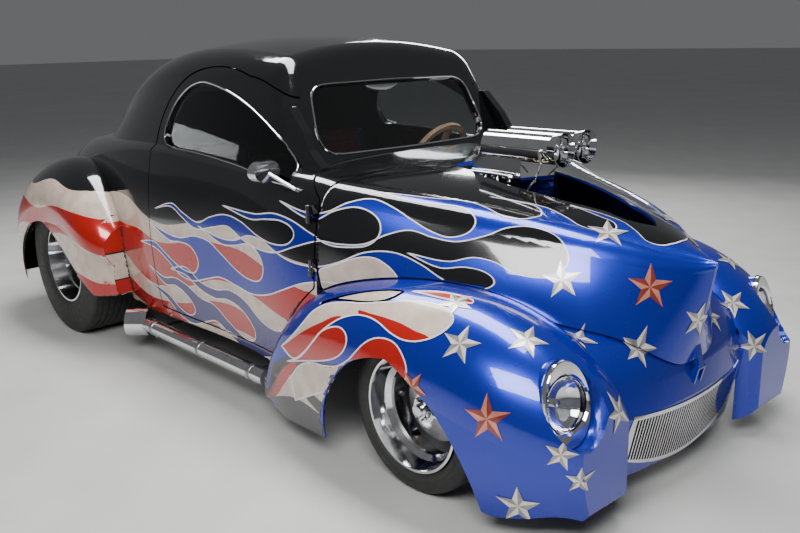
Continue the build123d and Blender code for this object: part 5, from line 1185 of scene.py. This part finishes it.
def cushion(name, low, high, channel_axis, face_axis):
    """A cushion swollen from a rounded block by cloth under pressure, then sewn in channels."""
    low, high = Vector(low) + Vector((SEAT_TRIM,) * 3), Vector(high) - Vector((SEAT_TRIM,) * 3)
    middle, half = (low + high) / 2, (high - low) / 2
    bpy.ops.mesh.primitive_cube_add(size=1, location=middle)
    obj = bpy.context.object
    obj.name = name
    obj.scale = high - low
    bpy.ops.object.transform_apply(location=True, rotation=False, scale=True)
    apply(obj, "BEVEL", width=SEAT_ROUND, segments=5)
    apply(obj, "REMESH", mode="VOXEL", voxel_size=SEAT_VOXEL)
    rest = [v.co.copy() for v in obj.data.vertices]
    cloth = obj.modifiers.new("cloth", "CLOTH")
    cloth.settings.use_pressure = True
    cloth.settings.uniform_pressure_force = PRESSURE
    cloth.settings.effector_weights.gravity = 0.0
    cloth.settings.quality = 5
    for step in range(1, CLOTH_FRAMES + 1):
        bpy.context.scene.frame_set(step)
    bpy.ops.object.modifier_apply(modifier="cloth")
    bpy.context.scene.frame_set(1)
    for vertex, before in zip(obj.data.vertices, rest):
        move = vertex.co - before
        if move.length > SWELL:
            vertex.co = before + move * (SWELL / move.length)
    apply(obj, "SUBSURF", levels=1)
    mesh = obj.data
    for vertex in mesh.vertices:
        place = vertex.co
        height = (place[face_axis] - middle[face_axis]) / half[face_axis]
        if height < FACE_START:
            continue
        centre = abs(place.y - SEAT_Y)
        bolster = min(1.0, max(0.0, (centre - BOLSTER_START) / BOLSTER_RISE))
        dip = DIP * (1 - bolster * bolster * (3 - 2 * bolster))
        along = (place[channel_axis] - middle[channel_axis]) / CHANNEL
        channel = groove((along - round(along)) * CHANNEL) * (1 - bolster)
        dip += CHANNEL_DIP * channel + EDGE_SEAM_DIP * groove(centre - INSERT_HALF)
        place[face_axis] -= dip * min(1.0, (height - FACE_START) / FACE_FADE)
    for finish_name in ("leather_red", "leather_navy", "leather_tan"):
        mesh.materials.append(FINISH[finish_name])
    for polygon in mesh.polygons:
        centre = abs(polygon.center.y - SEAT_Y)
        polygon.material_index = (centre >= INSERT_HALF) + (centre >= NAVY_HALF)
    mesh.shade_smooth()
    return obj


# Node, piece, lowest and highest corner, the axis that the channels follow each other on, and the face's axis
CUSHIONS = [
    ("seat_bases", "seat_cushion",
     (-0.215, SEAT_Y - SEAT_HALF, 0.268), (0.255, SEAT_Y + SEAT_HALF, 0.460), 0, 2),
    ("seat_backs", "seat_back",
     (-0.392, SEAT_Y - SEAT_HALF, 0.470), (-0.226, SEAT_Y + SEAT_HALF, 1.080), 2, 0),
]
for node, name, low, high, channel_axis, face_axis in CUSHIONS:
    first = cushion(f"{name}_left", low, high, channel_axis, face_axis)
    second = first.copy()
    second.data = first.data.copy()
    second.name = f"{name}_right"
    second.data.transform(Matrix.Scale(-1, 4, (0, 1, 0)))
    second.data.flip_normals()
    bpy.context.scene.collection.objects.link(second)
    for piece in (first, second):
        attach(piece, home(node))
        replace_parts(piece, node)

# Camera
camera_data = bpy.data.cameras.new("camera")
camera_data.sensor_width = SENSOR
camera_data.lens = LENS
camera_data.clip_start = 0.05
camera = bpy.data.objects.new("camera", camera_data)
bpy.context.scene.collection.objects.link(camera)
camera.matrix_world = Matrix((*zip(CAMERA_RIGHT, CAMERA_UP, -CAMERA_FORWARD, CAMERA_PLACE), (0, 0, 0, 1)))
bpy.context.scene.camera = camera

# Studio
FLOOR = 70.0
floor_mesh = bpy.data.meshes.new("floor")
floor_mesh.from_pydata([(-FLOOR, -FLOOR, 0), (FLOOR, -FLOOR, 0), (FLOOR, FLOOR, 0), (-FLOOR, FLOOR, 0)], [],
                       [(0, 1, 2, 3)])
floor_mesh.materials.append(finish("floor", (0.46, 0.46, 0.45), (0.51, 0.51, 0.50), (0.45, 0.6), grain=3))
floor = bpy.data.objects.new("floor", floor_mesh)
bpy.context.scene.collection.objects.link(floor)

world = bpy.data.worlds.new("studio")
world.use_nodes = True
background = world.node_tree.nodes["Background"]
background.inputs["Color"].default_value = (0.80, 0.82, 0.85, 1)
background.inputs["Strength"].default_value = 0.17
bpy.context.scene.world = world

# Soft lights: (name, place, aim, width, height, watts)
LIGHTS = [
    ("key", (3.4, -3.4, 3.6), (0.6, -0.2, 0.6), 2.6, 1.6, 260),
    ("top", (0.2, 0.0, 4.2), (0.2, 0.0, 0.0), 5.0, 1.2, 330),
    ("fill", (-4.4, -3.2, 1.3), (-0.4, 0.0, 0.6), 2.4, 1.2, 90),
    ("back", (-2.0, 4.4, 3.0), (0.0, 0.2, 0.6), 3.6, 1.4, 170),
]
for name, place, aim, width, height, watts in LIGHTS:
    data = bpy.data.lights.new(name, "AREA")
    data.shape = "RECTANGLE"
    data.size, data.size_y, data.energy = width, height, watts
    light = bpy.data.objects.new(name, data)
    light.location = place
    light.visible_glossy = name != "fill"
    light.rotation_euler = (Vector(aim) - Vector(place)).to_track_quat("-Z", "Y").to_euler()
    bpy.context.scene.collection.objects.link(light)
